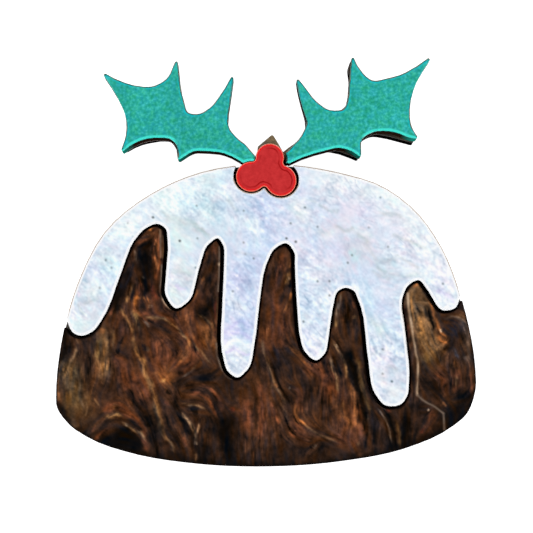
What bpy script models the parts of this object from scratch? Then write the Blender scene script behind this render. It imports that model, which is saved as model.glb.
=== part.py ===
"""A flat christmas pudding ornament, cut from sheets of coloured acrylic, lying on its back.

A brown base plate carries five pieces cut from a second sheet, glued down side by side: the pudding's
marbled body, the pearl icing that drips over it, two holly leaves and a cluster of three berries.
The shown face looks along +Z, and +Y runs from the pudding's foot to the holly. The origin is under the
middle of the whole. Sizes below are in millimetres, and MM turns them into metres.
"""

import math

import bmesh
import bpy
import numpy as np
from mathutils import Matrix
from mathutils.geometry import intersect_line_line_2d

MM = 0.001

SHEET = 3.0  # thickness of both acrylic sheets
GLUE = 0.1  # film of glue between them
MARGIN = 0.12  # how far the base plate stands out round the pieces on it
KERF = 0.3  # gap that the cutting leaves between the icing and its neighbours
ICING_SHIFT = 0.12  # the icing is glued this far to the right in the body's cut-out
BERRIES_DROP = 0.14  # the berries are glued this far down in the icing's cut-out
LEFT_STEM_GAP = 0.08  # the left leaf's stem touches the berries but for this
RIGHT_STEM_GAP = 0.35
TIP_RADIUS = 0.2  # round end of each holly spike
CORNER_RADIUS = 0.12  # and of each corner where one piece is cut away for another
PEAK_RADIUS = 0.25  # and of the base plate's peak
LOBE_FILLET = 0.45  # hollow between two berries

PER_KNOT = 16  # fine points between two knots, before the outline is thinned
MEASURE = 5  # a corner's angle is taken this many radii of its round end away
TURN = math.radians(7)  # a curve keeps one point for each such turn
LONGEST = 1.5  # and one at least this often

# The pudding's outline runs through these knots, from the icing's right end over the top to its left end,
OVER_TOP = (
    (23.30, -4.10), (21.10, 1.60), (18.25, 5.75), (14.10, 8.95), (8.70, 10.65), (0.10, 11.65),
    (-7.65, 10.65), (-13.65, 8.05), (-19.15, 3.45), (-21.95, -1.80), (-23.55, -6.75),
)  # fmt: skip
# and from there round the foot.
ROUND_FOOT = (
    (-24.30, -10.50), (-24.75, -15.70), (-24.70, -17.10), (-23.40, -19.15), (-20.55, -21.10),
    (-15.95, -22.70), (-8.80, -23.90), (0.10, -24.30), (8.85, -23.70), (16.85, -22.10),
    (21.60, -20.00), (24.00, -18.00), (24.95, -15.50), (24.90, -11.75), (24.20, -7.55),
)  # fmt: skip

# The icing's lower edge, from its left end to its right: each drip, then the finger of pudding beside it.
DRIPS = (
    ((-23.55, -6.75), (-23.35, -7.50), (-22.70, -8.55), (-21.80, -8.85), (-20.55, -8.40), (-19.10, -6.50)),
    ((-17.20, -1.65), (-15.25, 2.90), (-14.20, 3.95), (-12.70, 4.45), (-11.85, 3.90), (-11.60, 2.60)),
    ((-11.80, -1.75), (-11.80, -4.05), (-10.50, -5.60), (-9.25, -4.90), (-7.85, -0.95)),
    ((-6.60, 2.15), (-5.60, 2.75), (-5.05, 2.05), (-4.90, -0.40), (-5.05, -4.70)),
    ((-4.95, -11.50), (-4.45, -13.00), (-3.25, -13.80), (-2.10, -12.90), (-1.20, -9.55), (-0.65, -5.00)),
    ((0.35, 0.10), (1.10, 1.45), (2.55, 2.15), (3.50, 1.00), (3.55, -0.50), (3.85, -5.80)),
    ((4.15, -8.95), (4.75, -10.75), (6.15, -11.75), (7.00, -11.10), (7.60, -8.65), (8.10, -5.45)),
    ((8.80, -3.45), (9.60, -3.15), (10.55, -3.50), (11.10, -4.60), (12.25, -11.65)),
    ((13.05, -15.70), (14.30, -17.10), (16.20, -16.90), (16.90, -15.90), (17.10, -14.40), (16.70, -8.40)),
    ((16.45, -4.00), (17.10, -2.80), (18.35, -2.25), (19.20, -3.20)),
    ((21.35, -5.85), (22.60, -5.55), (23.30, -4.10)),
)

# Each leaf is five spikes, joined by hollow curves: a side runs from one spike to the next. The first and
# the last side end under the berries.
LEFT_LEAF = (
    ((-0.60, 12.00), (-1.50, 13.00), (-2.35, 14.00), (-3.35, 14.80), (-4.30, 16.10), (-4.35, 17.60),
     (-4.10, 19.40), (-3.60, 23.00)),
    ((-3.60, 23.00), (-5.40, 19.85), (-6.65, 18.35), (-8.05, 17.65), (-9.10, 17.80), (-9.75, 19.45),
     (-10.50, 24.60)),
    ((-10.50, 24.60), (-11.95, 21.75), (-13.40, 21.00), (-15.40, 21.05), (-17.60, 21.75), (-19.75, 22.92)),
    ((-19.75, 22.92), (-17.70, 19.75), (-16.65, 17.20), (-16.60, 15.30), (-17.40, 12.75)),
    ((-17.40, 12.75), (-15.90, 13.95), (-14.90, 14.45), (-12.65, 14.80), (-11.25, 14.60), (-10.55, 13.90),
     (-10.45, 12.00)),
    ((-10.45, 12.00), (-8.35, 13.20), (-6.95, 13.20), (-5.10, 13.00), (-3.90, 12.55), (-2.80, 11.90),
     (-1.40, 10.90)),
)  # fmt: skip
RIGHT_LEAF = (
    ((1.70, 11.00), (3.05, 11.80), (4.70, 12.55), (6.90, 13.20), (8.95, 13.60), (10.25, 13.25),
     (11.50, 12.40)),
    ((11.50, 12.40), (11.50, 13.20), (11.60, 14.60), (12.80, 15.45), (14.40, 15.65), (16.00, 15.35),
     (17.05, 14.90), (18.45, 14.65)),
    ((18.45, 14.65), (17.60, 16.05), (17.40, 18.95), (17.95, 21.00), (20.30, 25.00)),
    ((20.30, 25.00), (17.40, 23.00), (16.00, 22.33), (15.00, 22.08), (12.85, 21.75), (11.18, 23.36),
     (10.40, 25.15)),
    ((10.40, 25.15), (10.10, 21.60), (9.95, 19.85), (9.45, 18.35), (7.75, 18.15), (6.25, 19.10),
     (4.68, 21.05), (3.62, 22.40)),
    ((3.62, 22.40), (4.15, 19.60), (4.65, 17.90), (5.00, 16.75), (4.50, 15.35), (3.35, 13.85),
     (2.65, 13.20), (1.70, 12.30)),
)  # fmt: skip

# Under each leaf the base plate has a lobe of nearly the same outline, on which the leaf is glued a little askew.
LEFT_LOBE = (
    ((-0.70, 12.30), (-1.60, 13.30), (-2.45, 14.30), (-3.45, 15.10), (-4.40, 16.40), (-4.45, 17.90),
     (-4.20, 19.70), (-3.72, 23.20)),
    ((-3.72, 23.20), (-5.50, 20.15), (-6.75, 18.65), (-8.15, 17.95), (-9.20, 18.10), (-9.85, 19.75),
     (-10.60, 24.80)),
    ((-10.60, 24.80), (-12.05, 22.00), (-13.50, 21.25), (-15.50, 21.35), (-17.70, 22.00), (-19.60, 23.05)),
    ((-19.60, 23.05), (-17.65, 20.05), (-16.65, 17.50), (-16.55, 15.60), (-17.10, 13.45)),
    ((-17.10, 13.45), (-16.05, 14.10), (-14.80, 14.62), (-13.58, 14.89), (-12.36, 15.04), (-11.40, 14.90),
     (-10.85, 14.20), (-10.50, 12.40)),
    ((-10.50, 12.40), (-9.30, 13.18), (-8.20, 13.62), (-6.86, 13.71), (-5.60, 13.56), (-4.42, 13.29),
     (-3.30, 12.70), (-1.40, 11.20)),
)  # fmt: skip
RIGHT_LOBE = (
    ((1.70, 11.60), (3.05, 12.25), (4.60, 13.00), (5.85, 13.47), (7.20, 13.74), (8.90, 13.52), (10.10, 13.12),
     (11.30, 12.60)),
    ((11.30, 12.60), (11.50, 13.60), (11.70, 14.85), (12.80, 15.55), (14.40, 15.47), (15.90, 15.10),
     (18.15, 14.50)),
    ((18.15, 14.50), (17.60, 15.90), (17.40, 18.95), (17.85, 21.00), (20.15, 24.95)),
    ((20.15, 24.95), (17.45, 23.20), (16.05, 22.55), (15.00, 22.30), (12.95, 22.00), (11.30, 23.45),
     (10.50, 24.78)),
    ((10.50, 24.78), (10.15, 24.00), (10.25, 22.20), (10.15, 20.30), (9.85, 19.20), (9.25, 18.60),
     (7.75, 18.42), (6.35, 19.35), (4.85, 21.05), (3.80, 22.40)),
    ((3.80, 22.40), (3.92, 21.30), (4.20, 20.10), (4.50, 18.90), (4.90, 17.40), (4.80, 15.95), (3.60, 14.50),
     (2.70, 13.85), (1.70, 13.00)),
)  # fmt: skip

# The berries' middles and radii, anticlockwise.
BERRIES = ((0.58, 12.42, 1.68), (-1.66, 10.13, 1.80), (1.89, 9.66, 1.86))
# The base plate rises to a peak behind the topmost berry: its right side, its tip and its left side.
PEAK_RIGHT = ((2.25, 13.35), (1.65, 14.45))
PEAK_TIP = (0.93, 15.62)
PEAK_LEFT = ((0.05, 14.90), (-0.85, 14.10), (-0.95, 13.10))


# ---- outlines: arrays of points, anticlockwise, in millimetres ----


def smooth(knots, closed=False):
    """A curve without kinks through the knots, which leaves each one along the arc of its neighbours."""
    knots = np.array(knots)
    if closed:
        before, after = np.roll(knots, 1, axis=0), np.roll(knots, -1, axis=0)
    else:
        before = np.vstack([2 * knots[:1] - knots[1:2], knots[:-1]])
        after = np.vstack([knots[1:], 2 * knots[-1:] - knots[-2:-1]])
    arriving, leaving = knots - before, after - knots
    back, ahead = (np.linalg.norm(run, axis=1)[:, None] for run in (arriving, leaving))
    slope = (arriving / back * ahead + leaving / ahead * back) / (back + ahead)
    t = np.linspace(0, 1, PER_KNOT, endpoint=False)[:, None]
    runs = []
    for i in range(len(knots) - (not closed)):
        j = (i + 1) % len(knots)
        runs.append(
            knots[i] * (1 + 2 * t) * (1 - t) ** 2
            + knots[j] * t**2 * (3 - 2 * t)
            + slope[i] * ahead[i] * t * (1 - t) ** 2
            - slope[j] * ahead[i] * t**2 * (1 - t)
        )
    if not closed:
        runs.append(knots[-1:])
    return np.vstack(runs)


def arc(middle, radius, start, end):
    """Points along an arc between two angles, clockwise where end is the smaller."""
    angles = np.linspace(start, end, 2 + int(abs(end - start) / (TURN / 3)))
    return np.array(middle) + radius * np.column_stack([np.cos(angles), np.sin(angles)])


def heading(vector):
    return math.atan2(vector[1], vector[0])


def grown(outline, distance):
    """The outline moved outwards all round, less the small loops that this ties in a tight hollow."""
    along = np.roll(outline, -1, axis=0) - np.roll(outline, 1, axis=0)
    outwards = np.column_stack([along[:, 1], -along[:, 0]])
    moved = outline + distance * outwards / np.linalg.norm(along, axis=1)[:, None]
    nearest = np.linalg.norm(moved[:, None] - outline, axis=2).min(axis=1)
    return moved[nearest > 0.999 * distance]


def inside(points, outline):
    """Whether each point lies in the outline: a line to the right of it crosses the outline an odd time."""
    x, y = points[:, :1], points[:, 1:]
    start, end = outline, np.roll(outline, -1, axis=0)
    straddles = (start[:, 1] > y) != (end[:, 1] > y)
    rise = np.where(start[:, 1] == end[:, 1], 1.0, end[:, 1] - start[:, 1])
    meets = start[:, 0] + (y - start[:, 1]) * (end[:, 0] - start[:, 0]) / rise
    return (straddles & (x < meets)).sum(axis=1) % 2 == 1


def unbroken(outline, kept):
    """The outline's kept points, as one run, with the point dropped before it and the one after it."""
    starts = np.flatnonzero(kept & ~np.roll(kept, 1))
    if len(starts) != 1:
        raise ValueError("the outlines have to cross at two places")
    turned = np.roll(outline, -starts[0], axis=0)
    count = kept.sum()
    return turned[-1], turned[:count], turned[count]


def crossed(first, second, keep_outside):
    """The run of the first outline outside the second, where it ends, the second's run and where that ends."""
    before, run, after = unbroken(first, ~inside(first, second))
    other_before, other, other_after = unbroken(second, inside(second, first) != keep_outside)
    if not keep_outside:
        other_before, other, other_after = other_after, other[::-1], other_before
    leave = intersect_line_line_2d(run[-1], after, other_before, other[0])
    enter = intersect_line_line_2d(before, run[0], other[-1], other_after)
    return run, np.array(leave), other, np.array(enter)


def cut_out(outline, cutter):
    """The outline without the cutter's area, with both corners that this leaves rounded."""
    run, leave, other, enter = crossed(outline, cutter, keep_outside=False)
    run, first_end, other = rounded(run, leave, other, CORNER_RADIUS)
    other, second_end, run = rounded(other, enter, run, CORNER_RADIUS)
    return np.vstack([run, first_end, other, second_end])


def joined(outline, *others):
    """The outlines as one."""
    for other in others:
        outline = np.vstack(crossed(outline, other, keep_outside=True))
    return outline


def rounded(arriving, tip, leaving, radius):
    """Two runs that meet in a sharp tip, each cut short of it, and between them the arc of a round end."""
    from_tip, to_tip = (np.linalg.norm(run - tip, axis=1) for run in (leaving, arriving))
    back = arriving[to_tip > MEASURE * radius][-1] - tip
    ahead = leaving[from_tip > MEASURE * radius][0] - tip
    back, ahead = (v / np.linalg.norm(v) for v in (back, ahead))
    half = math.acos(np.dot(back, ahead)) / 2
    inwards = (back + ahead) / np.linalg.norm(back + ahead)
    out = heading(-inwards)
    sweep = math.pi / 2 - half
    end = arc(tip + inwards * radius / math.sin(half), radius, out - sweep, out + sweep)
    reach = radius / math.tan(half)
    return arriving[to_tip > reach], end, leaving[from_tip > reach]


def thinned(outline):
    """The outline with no more points than its curves need."""
    arriving = outline - np.roll(outline, 1, axis=0)
    leaving = np.roll(outline, -1, axis=0) - outline
    cross = arriving[:, 0] * leaving[:, 1] - arriving[:, 1] * leaving[:, 0]
    turns = np.abs(np.arctan2(cross, (arriving * leaving).sum(axis=1)))
    lengths = np.linalg.norm(arriving, axis=1)
    kept, turned, gone = [], TURN, 0.0
    for point, turn, length in zip(outline, turns, lengths):
        turned += turn
        gone += length
        if turned >= TURN or gone >= LONGEST:
            kept.append(point)
            turned, gone = 0.0, 0.0
    return np.array(kept)


def spiked(sides):
    """A leaf's outline: its sides, with a round end at each spike where two of them meet."""
    outline = smooth(sides[0])
    for side in sides[1:]:
        outline = np.vstack(rounded(outline, np.array(side[0]), smooth(side), TIP_RADIUS))
    return outline


def lobed(growth=0.0):
    """The outline of the three berries as one, grown all round, with a fillet in each hollow."""
    fillet = LOBE_FILLET - growth
    hollows = []
    for i, (x, y, radius) in enumerate(BERRIES):
        next_x, next_y, next_radius = BERRIES[(i + 1) % len(BERRIES)]
        apart = math.hypot(next_x - x, next_y - y)
        near, far = radius + growth + fillet, next_radius + growth + fillet
        along = (near**2 - far**2 + apart**2) / (2 * apart)
        beside = math.sqrt(near**2 - along**2)
        towards = np.array([next_x - x, next_y - y]) / apart
        hollows.append(np.array([x, y]) + towards * along + np.array([towards[1], -towards[0]]) * beside)
    outline = []
    for i, (x, y, radius) in enumerate(BERRIES):
        middle = np.array([x, y])
        following = np.array(BERRIES[(i + 1) % len(BERRIES)][:2])
        start = heading(hollows[i - 1] - middle)
        end = start + (heading(hollows[i] - middle) - start) % math.tau
        outline.append(arc(middle, radius + growth, start, end))
        start = heading(middle - hollows[i])
        end = start - (start - heading(following - hollows[i])) % math.tau
        outline.append(arc(hollows[i], fillet, start, end)[1:-1])
    return np.vstack(outline)


# ---- solids ----


def material(name, colour, roughness):
    made = bpy.data.materials.new(name)
    made.use_nodes = True
    shader = made.node_tree.nodes["Principled BSDF"]
    shader.inputs["Base Color"].default_value = (*colour, 1.0)
    shader.inputs["Roughness"].default_value = roughness
    shader.inputs["Metallic"].default_value = 0.0
    made.diffuse_color = (*colour, 1.0)
    return made


def cut_piece(name, outline, bottom, finish):
    """One piece cut square from sheet, standing on the level bottom."""
    outline = thinned(outline)
    bm = bmesh.new()
    lower = [bm.verts.new((x, y, bottom)) for x, y in outline]
    upper = [bm.verts.new((x, y, bottom + SHEET)) for x, y in outline]
    for i in range(len(outline)):
        bm.faces.new((lower[i - 1], lower[i], upper[i], upper[i - 1]))
    bm.faces.new(lower[::-1])
    bm.faces.new(upper)
    bmesh.ops.scale(bm, vec=(MM, MM, MM), verts=bm.verts)
    bmesh.ops.recalc_face_normals(bm, faces=bm.faces)
    mesh = bpy.data.meshes.new(name)
    bm.to_mesh(mesh)
    bm.free()
    mesh.shade_smooth()
    mesh.set_sharp_from_angle(angle=math.radians(30))
    mesh.materials.append(finish)
    piece = bpy.data.objects.new(name, mesh)
    bpy.context.collection.objects.link(piece)
    return piece


def clear_scene():
    for thing in list(bpy.data.objects):
        bpy.data.objects.remove(thing)


def build():
    clear_scene()

    pudding = smooth(OVER_TOP + ROUND_FOOT, closed=True)
    over_top = pudding[: (len(OVER_TOP) - 1) * PER_KNOT]
    drip_line = smooth([knot for stretch in DRIPS for knot in stretch])
    icing = np.vstack([over_top, drip_line[:-1]])
    left_leaf = spiked(LEFT_LEAF)
    right_leaf = spiked(RIGHT_LEAF)
    berries = lobed()

    peak = rounded(np.array(PEAK_RIGHT), np.array(PEAK_TIP), np.array(PEAK_LEFT), PEAK_RADIUS)
    base = joined(
        grown(pudding, MARGIN),
        joined(lobed(MARGIN), np.vstack(peak)),
        spiked(LEFT_LOBE),
        spiked(RIGHT_LOBE),
    )
    body = cut_out(pudding, grown(icing, KERF) - (ICING_SHIFT, 0.0))
    icing = cut_out(icing, lobed(KERF) + (0.0, BERRIES_DROP))
    left_leaf = cut_out(left_leaf, lobed(LEFT_STEM_GAP))
    right_leaf = cut_out(right_leaf, lobed(RIGHT_STEM_GAP))

    brown = (0.047, 0.021, 0.012)
    teal = (0.026, 0.413, 0.352)
    pieces = [
        cut_piece("base_plate", base, 0.0, material("dark brown acrylic", (0.035, 0.019, 0.012), 0.25)),
        cut_piece("pudding_body", body, SHEET + GLUE, material("marbled brown acrylic", brown, 0.2)),
        cut_piece("icing", icing, SHEET + GLUE, material("pearl acrylic", (0.72, 0.80, 0.91), 0.2)),
        cut_piece("leaf_left", left_leaf, SHEET + GLUE, material("left leaf acrylic", teal, 0.3)),
        cut_piece("leaf_right", right_leaf, SHEET + GLUE, material("right leaf acrylic", teal, 0.3)),
        cut_piece("berries", berries, SHEET + GLUE, material("red acrylic", (0.56, 0.03, 0.03), 0.2)),
    ]
    base = thinned(base)
    middle = (base.min(axis=0) + base.max(axis=0)) / 2 * MM
    for piece in pieces:
        piece.data.transform(Matrix.Translation((-middle[0], -middle[1], 0.0)))


build()
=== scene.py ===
import math

import bmesh
import bpy
import numpy as np
from mathutils import Matrix, Vector


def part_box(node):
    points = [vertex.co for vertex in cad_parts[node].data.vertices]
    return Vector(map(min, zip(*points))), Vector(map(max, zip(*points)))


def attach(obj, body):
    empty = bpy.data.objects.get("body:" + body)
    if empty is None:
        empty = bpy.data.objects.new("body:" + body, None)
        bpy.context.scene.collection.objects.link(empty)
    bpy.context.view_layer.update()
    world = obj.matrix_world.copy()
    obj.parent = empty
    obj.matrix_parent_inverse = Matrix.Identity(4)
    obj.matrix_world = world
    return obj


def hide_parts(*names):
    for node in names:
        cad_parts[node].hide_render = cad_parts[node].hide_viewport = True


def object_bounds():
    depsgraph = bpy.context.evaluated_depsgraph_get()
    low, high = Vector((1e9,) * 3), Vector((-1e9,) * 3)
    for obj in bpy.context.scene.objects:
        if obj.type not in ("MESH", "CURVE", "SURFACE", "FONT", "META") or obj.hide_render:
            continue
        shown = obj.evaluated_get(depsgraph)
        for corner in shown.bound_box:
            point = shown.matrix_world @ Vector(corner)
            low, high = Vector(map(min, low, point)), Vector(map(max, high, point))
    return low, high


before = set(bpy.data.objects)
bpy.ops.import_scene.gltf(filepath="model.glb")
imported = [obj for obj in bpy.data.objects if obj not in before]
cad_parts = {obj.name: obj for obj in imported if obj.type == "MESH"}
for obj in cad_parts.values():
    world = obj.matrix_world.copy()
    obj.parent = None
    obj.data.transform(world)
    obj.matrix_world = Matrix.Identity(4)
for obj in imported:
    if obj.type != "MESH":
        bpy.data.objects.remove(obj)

whole_low, whole_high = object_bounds()


# ---- Base plate ----
# The back of the ornament: one sheet of dark brown cast acrylic, 3 mm thick, cut by laser to the outline of
# the whole pudding. It is the plate that all the coloured pieces are glued to. Its edges are burnt darker by
# the cut. It shows as a peak between the leaves, as lobes beside them and at the bottom of the gaps.

def copied(nodes, name):
    """One new piece with the shape of the given CAD nodes, its corners merged and its faces made whole."""
    bpy.ops.object.select_all(action="DESELECT")
    for node in nodes:
        piece = bpy.data.objects.new(name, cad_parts[node].data.copy())
        bpy.context.scene.collection.objects.link(piece)
        bpy.context.view_layer.objects.active = piece
        piece.select_set(True)
    if len(nodes) > 1:
        bpy.ops.object.join()
    piece = bpy.context.view_layer.objects.active
    piece.name = name
    bpy.ops.object.mode_set(mode="EDIT")
    bpy.ops.mesh.select_mode(type="FACE")
    bpy.ops.mesh.select_all(action="SELECT")
    bpy.ops.mesh.remove_doubles(threshold=2e-6)
    bpy.ops.mesh.dissolve_limited(angle_limit=math.radians(0.3))
    bpy.ops.mesh.select_all(action="DESELECT")
    bpy.ops.object.mode_set(mode="OBJECT")
    return piece


def select_faces(piece, wanted):
    """In edit mode, selects only the faces that wanted(face) is true for."""
    bpy.ops.mesh.select_all(action="DESELECT")
    shape = bmesh.from_edit_mesh(piece.data)
    for face in shape.faces:
        face.select_set(wanted(face))
    bmesh.update_edit_mesh(piece.data)


def looks_up(face):
    """True for the faces on top of a sheet."""
    return face.normal.z > 0.9


def soften_rim(piece, width, wanted):
    """Rounds off the sharp edge round the faces that wanted(face) is true for, as polishing does."""
    bpy.ops.object.mode_set(mode="EDIT")
    bpy.ops.mesh.select_mode(type="FACE")
    select_faces(piece, wanted)
    bpy.ops.mesh.region_to_loop()
    bpy.ops.mesh.bevel(offset=width, segments=2, profile=0.5, affect="EDGES", clamp_overlap=False)
    bpy.ops.mesh.select_mode(type="FACE")
    bpy.ops.mesh.select_all(action="DESELECT")
    bpy.ops.object.mode_set(mode="OBJECT")


def smooth_walls(piece):
    """Shades the many small wall faces as one round wall, and keeps the flat faces flat."""
    bpy.ops.object.select_all(action="DESELECT")
    bpy.context.view_layer.objects.active = piece
    piece.select_set(True)
    bpy.ops.object.shade_smooth_by_angle(angle=math.radians(30))


def two_finishes(piece, top, wall, level=0.3):
    """Gives the faces that look up the top finish, and the rest the finish of a cut wall."""
    piece.data.materials.clear()
    piece.data.materials.append(top)
    piece.data.materials.append(wall)
    for face in piece.data.polygons:
        face.material_index = 0 if face.normal.z > level else 1


def shader_levels(swatch):
    """Levels read off a swatch, from 0 to 255, as a shader takes them."""
    level = np.asarray(swatch) / 255
    return np.where(level < 0.04045, level / 12.92, ((level + 0.055) / 1.055) ** 2.4)


def colour(red, green, blue):
    """A colour as it is read off a swatch, from 0 to 255, for a shader."""
    return (*shader_levels((red, green, blue)), 1)


def feed_socket(tree, socket, value):
    """Feeds a socket with a fixed value, or from another node, given as that node and its output."""
    if isinstance(value, tuple) and isinstance(value[0], bpy.types.Node):
        source, output = value
        tree.links.new(source.outputs[output], socket)
    else:
        socket.default_value = value


def feed(tree, node, *numbered, **named):
    """Feeds a node's sockets, in order or by name."""
    for i, value in enumerate(numbered):
        feed_socket(tree, node.inputs[i], value)
    for label, value in named.items():
        feed_socket(tree, node.inputs[label.replace("_", " ")], value)


def add(tree, kind, place, settings=(), *numbered, **named):
    """Adds one node at a place, with its settings and what feeds its sockets."""
    node = tree.nodes.new(kind)
    node.location = place
    for key, value in dict(settings).items():
        setattr(node, key, value)
    feed(tree, node, *numbered, **named)
    return node


def reckon(tree, operation, place, first, second, clamp=False):
    """Adds a node that works out one value from two."""
    return add(tree, "ShaderNodeMath", place, {"operation": operation, "use_clamp": clamp}, first, second)


# A Mix node's sockets for its lower colour, its upper colour and the mixed one.
UNDER, OVER, MIXED = 6, 7, 2


def mixer(tree, place, factor, under, over):
    """Adds a node that lays one colour over another as far as its factor says."""
    node = add(tree, "ShaderNodeMix", place, {"data_type": "RGBA"}, Factor=factor)
    feed_socket(tree, node.inputs[UNDER], under)
    feed_socket(tree, node.inputs[OVER], over)
    return node


def new_finish(name):
    """A new material for one finish: the material, its node tree and its main shader."""
    material = bpy.data.materials.new(name)
    material.use_nodes = True
    tree = material.node_tree
    return material, tree, tree.nodes["Principled BSDF"]


def new_effect(name, inputs, outputs):
    """A new node group for an effect that several finishes share, with named inputs and outputs."""
    group = bpy.data.node_groups.new(name, "ShaderNodeTree")
    for label, kind, value in inputs:
        socket = group.interface.new_socket(name=label, in_out="INPUT", socket_type=kind)
        socket.default_value = value
    for label, kind in outputs:
        group.interface.new_socket(name=label, in_out="OUTPUT", socket_type=kind)
    start = group.nodes.new("NodeGroupInput")
    start.location = (-900, 0)
    end = group.nodes.new("NodeGroupOutput")
    end.location = (500, 0)
    return group, start, end


def effect(tree, group, place, **named):
    """Places an effect in a finish, with its own values."""
    return add(tree, "ShaderNodeGroup", place, {"node_tree": group}, **named)


# The laser leaves fine upright grooves in a cut wall, and a darker band of smoke towards its foot.
cut_marks, start, end = new_effect(
    "cut_marks",
    [
        ("Clean", "NodeSocketColor", (0.5, 0.5, 0.5, 1)),
        ("Burnt", "NodeSocketColor", (0.02, 0.01, 0.01, 1)),
        ("Groove Size", "NodeSocketFloat", 2600.0),
        ("Burn", "NodeSocketFloat", 0.5),
        ("Smoke Line", "NodeSocketFloat", 0.005),
    ],
    [("Color", "NodeSocketColor"), ("Height", "NodeSocketFloat"), ("Roughness", "NodeSocketFloat")],
)
place = add(cut_marks, "ShaderNodeTexCoord", (-900, -300))
upright = add(
    cut_marks, "ShaderNodeMapping", (-700, -300), Vector=(place, "Object"), Scale=(1.0, 1.0, 0.06),
)
grooves = add(
    cut_marks, "ShaderNodeTexNoise", (-500, -200), Vector=(upright, "Vector"),
    Scale=(start, "Groove Size"), Detail=4.0, Roughness=0.6,
)
smoke = add(
    cut_marks, "ShaderNodeTexNoise", (-500, -450), Vector=(place, "Object"), Scale=420.0, Detail=3.0,
    Roughness=0.6,
)
both = reckon(cut_marks, "ADD", (-250, -250), (grooves, "Fac"), (smoke, "Fac"))
share = add(
    cut_marks, "ShaderNodeMapRange", (-50, -250), Value=(both, "Value"), From_Min=0.75, From_Max=1.25,
)
height = add(cut_marks, "ShaderNodeSeparateXYZ", (-700, -650), Vector=(place, "Object"))
below = reckon(cut_marks, "SUBTRACT", (-500, -650), (start, "Smoke Line"), (height, "Z"))
smoked = add(
    cut_marks, "ShaderNodeMapRange", (-250, -550), Value=(below, "Value"), From_Min=-0.0002,
    From_Max=0.0004,
)
toned = reckon(cut_marks, "ADD", (0, -450), (smoked, "Result"), (share, "Result"))
shift = reckon(cut_marks, "ADD", (150, -100), (toned, "Value"), (start, "Burn"), clamp=True)
mix = mixer(cut_marks, (250, 100), (shift, "Value"), (start, "Clean"), (start, "Burnt"))
gloss = add(
    cut_marks, "ShaderNodeMapRange", (250, -250), Value=(grooves, "Fac"), To_Min=0.55, To_Max=0.85,
)
feed(cut_marks, end, Color=(mix, MIXED), Height=(grooves, "Fac"), Roughness=(gloss, "Result"))


def wall_finish(name, clean, burnt, burn, smoke_line):
    """The finish of a laser-cut wall: the sheet's own colour, burnt darker below the smoke line."""
    material, tree, shader = new_finish(name)
    shader.inputs["Specular IOR Level"].default_value = 0.0
    marks = effect(
        tree, cut_marks, (-600, 0), Clean=clean, Burnt=burnt, Burn=burn, Smoke_Line=smoke_line
    )
    bump = add(
        tree, "ShaderNodeBump", (-250, -250), Height=(marks, "Height"), Strength=0.35, Distance=0.00003
    )
    feed(
        tree, shader, Base_Color=(marks, "Color"), Roughness=(marks, "Roughness"), Normal=(bump, "Normal")
    )
    return material


def ramp(tree, place, source, first, *others):
    """A run of colours between stops, each given as where it lies, from 0 to 1, and its colour."""
    node = add(tree, "ShaderNodeValToRGB", place, Fac=source)
    ends = node.color_ramp.elements
    ends[0].position, ends[0].color = first
    ends[1].position, ends[1].color = others[-1]
    for where, tone in others[:-1]:
        ends.new(where).color = tone
    return node


# The middle of the peak between the leaves, round which the plate top is painted paler: painted light on the
# open peak.
PEAK = (0.0007, 0.0150, 0.0030)

plate_top, tree, shader = new_finish("plate_top")
place = add(tree, "ShaderNodeTexCoord", (-1100, 0))
cloud = add(
    tree, "ShaderNodeTexNoise", (-850, 100), Vector=(place, "Object"), Scale=900.0, Detail=5.0,
    Roughness=0.62,
)
shades = ramp(
    tree, (-600, 100), (cloud, "Fac"), (0.34, colour(24, 24, 16)), (0.5, colour(46, 38, 26)),
    (0.68, colour(80, 60, 38)),
)
# The paler run of colours is painted light: the same sheet drawn lit, for the open peak.
peak_lit_shades = ramp(
    tree, (-600, 350), (cloud, "Fac"), (0.34, colour(84, 70, 40)), (0.68, colour(150, 124, 84)),
)
to_peak = add(
    tree, "ShaderNodeVectorMath", (-850, 400), {"operation": "DISTANCE"}, (place, "Object"), PEAK,
)
peak_light_share = add(
    tree, "ShaderNodeMapRange", (-600, 600), Value=(to_peak, "Value"), From_Min=0.0045, From_Max=0.0030,
)
peak_lit = mixer(tree, (-250, 250), (peak_light_share, "Result"), (shades, "Color"), (peak_lit_shades, "Color"))
sheen = add(tree, "ShaderNodeMapRange", (-600, -200), Value=(cloud, "Fac"), To_Min=0.22, To_Max=0.5)
bump = add(tree, "ShaderNodeBump", (-300, -300), Height=(cloud, "Fac"), Strength=0.15, Distance=0.00002)
feed(tree, shader, Base_Color=(peak_lit, MIXED), Roughness=(sheen, "Result"), Normal=(bump, "Normal"))

plate_wall = wall_finish("plate_wall", colour(16, 10, 7), colour(6, 4, 4), burn=0.3, smoke_line=0.0015)

PLATE_RIM = 0.00006
plate = copied(["base_plate"], "plate")
soften_rim(plate, PLATE_RIM, looks_up)
soften_rim(plate, PLATE_RIM, lambda face: face.normal.z < -0.9)
two_finishes(plate, plate_top, plate_wall)
smooth_walls(plate)
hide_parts("base_plate")
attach(plate, "root")


# ---- Glue ----
# A film of clear amber glue, a tenth of a millimetre thick, holds each coloured piece to the base plate. It
# is spread on the whole back of the piece, so it shows only as a thin line between the two sheets.

GLUE = 0.0001
plate_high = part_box("base_plate")[1].z

glue_film = copied(["pudding_body", "icing", "leaf_left", "leaf_right", "berries"], "glue_film")
bpy.ops.object.mode_set(mode="EDIT")
bpy.ops.mesh.select_all(action="SELECT")
bpy.ops.mesh.bisect(
    plane_co=(0, 0, plate_high + 2 * GLUE), plane_no=(0, 0, 1), threshold=1e-7,
    clear_outer=True, use_fill=True,
)
bpy.ops.mesh.select_all(action="SELECT")
bpy.ops.transform.translate(value=(0, 0, -GLUE))
bpy.ops.object.mode_set(mode="OBJECT")

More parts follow.
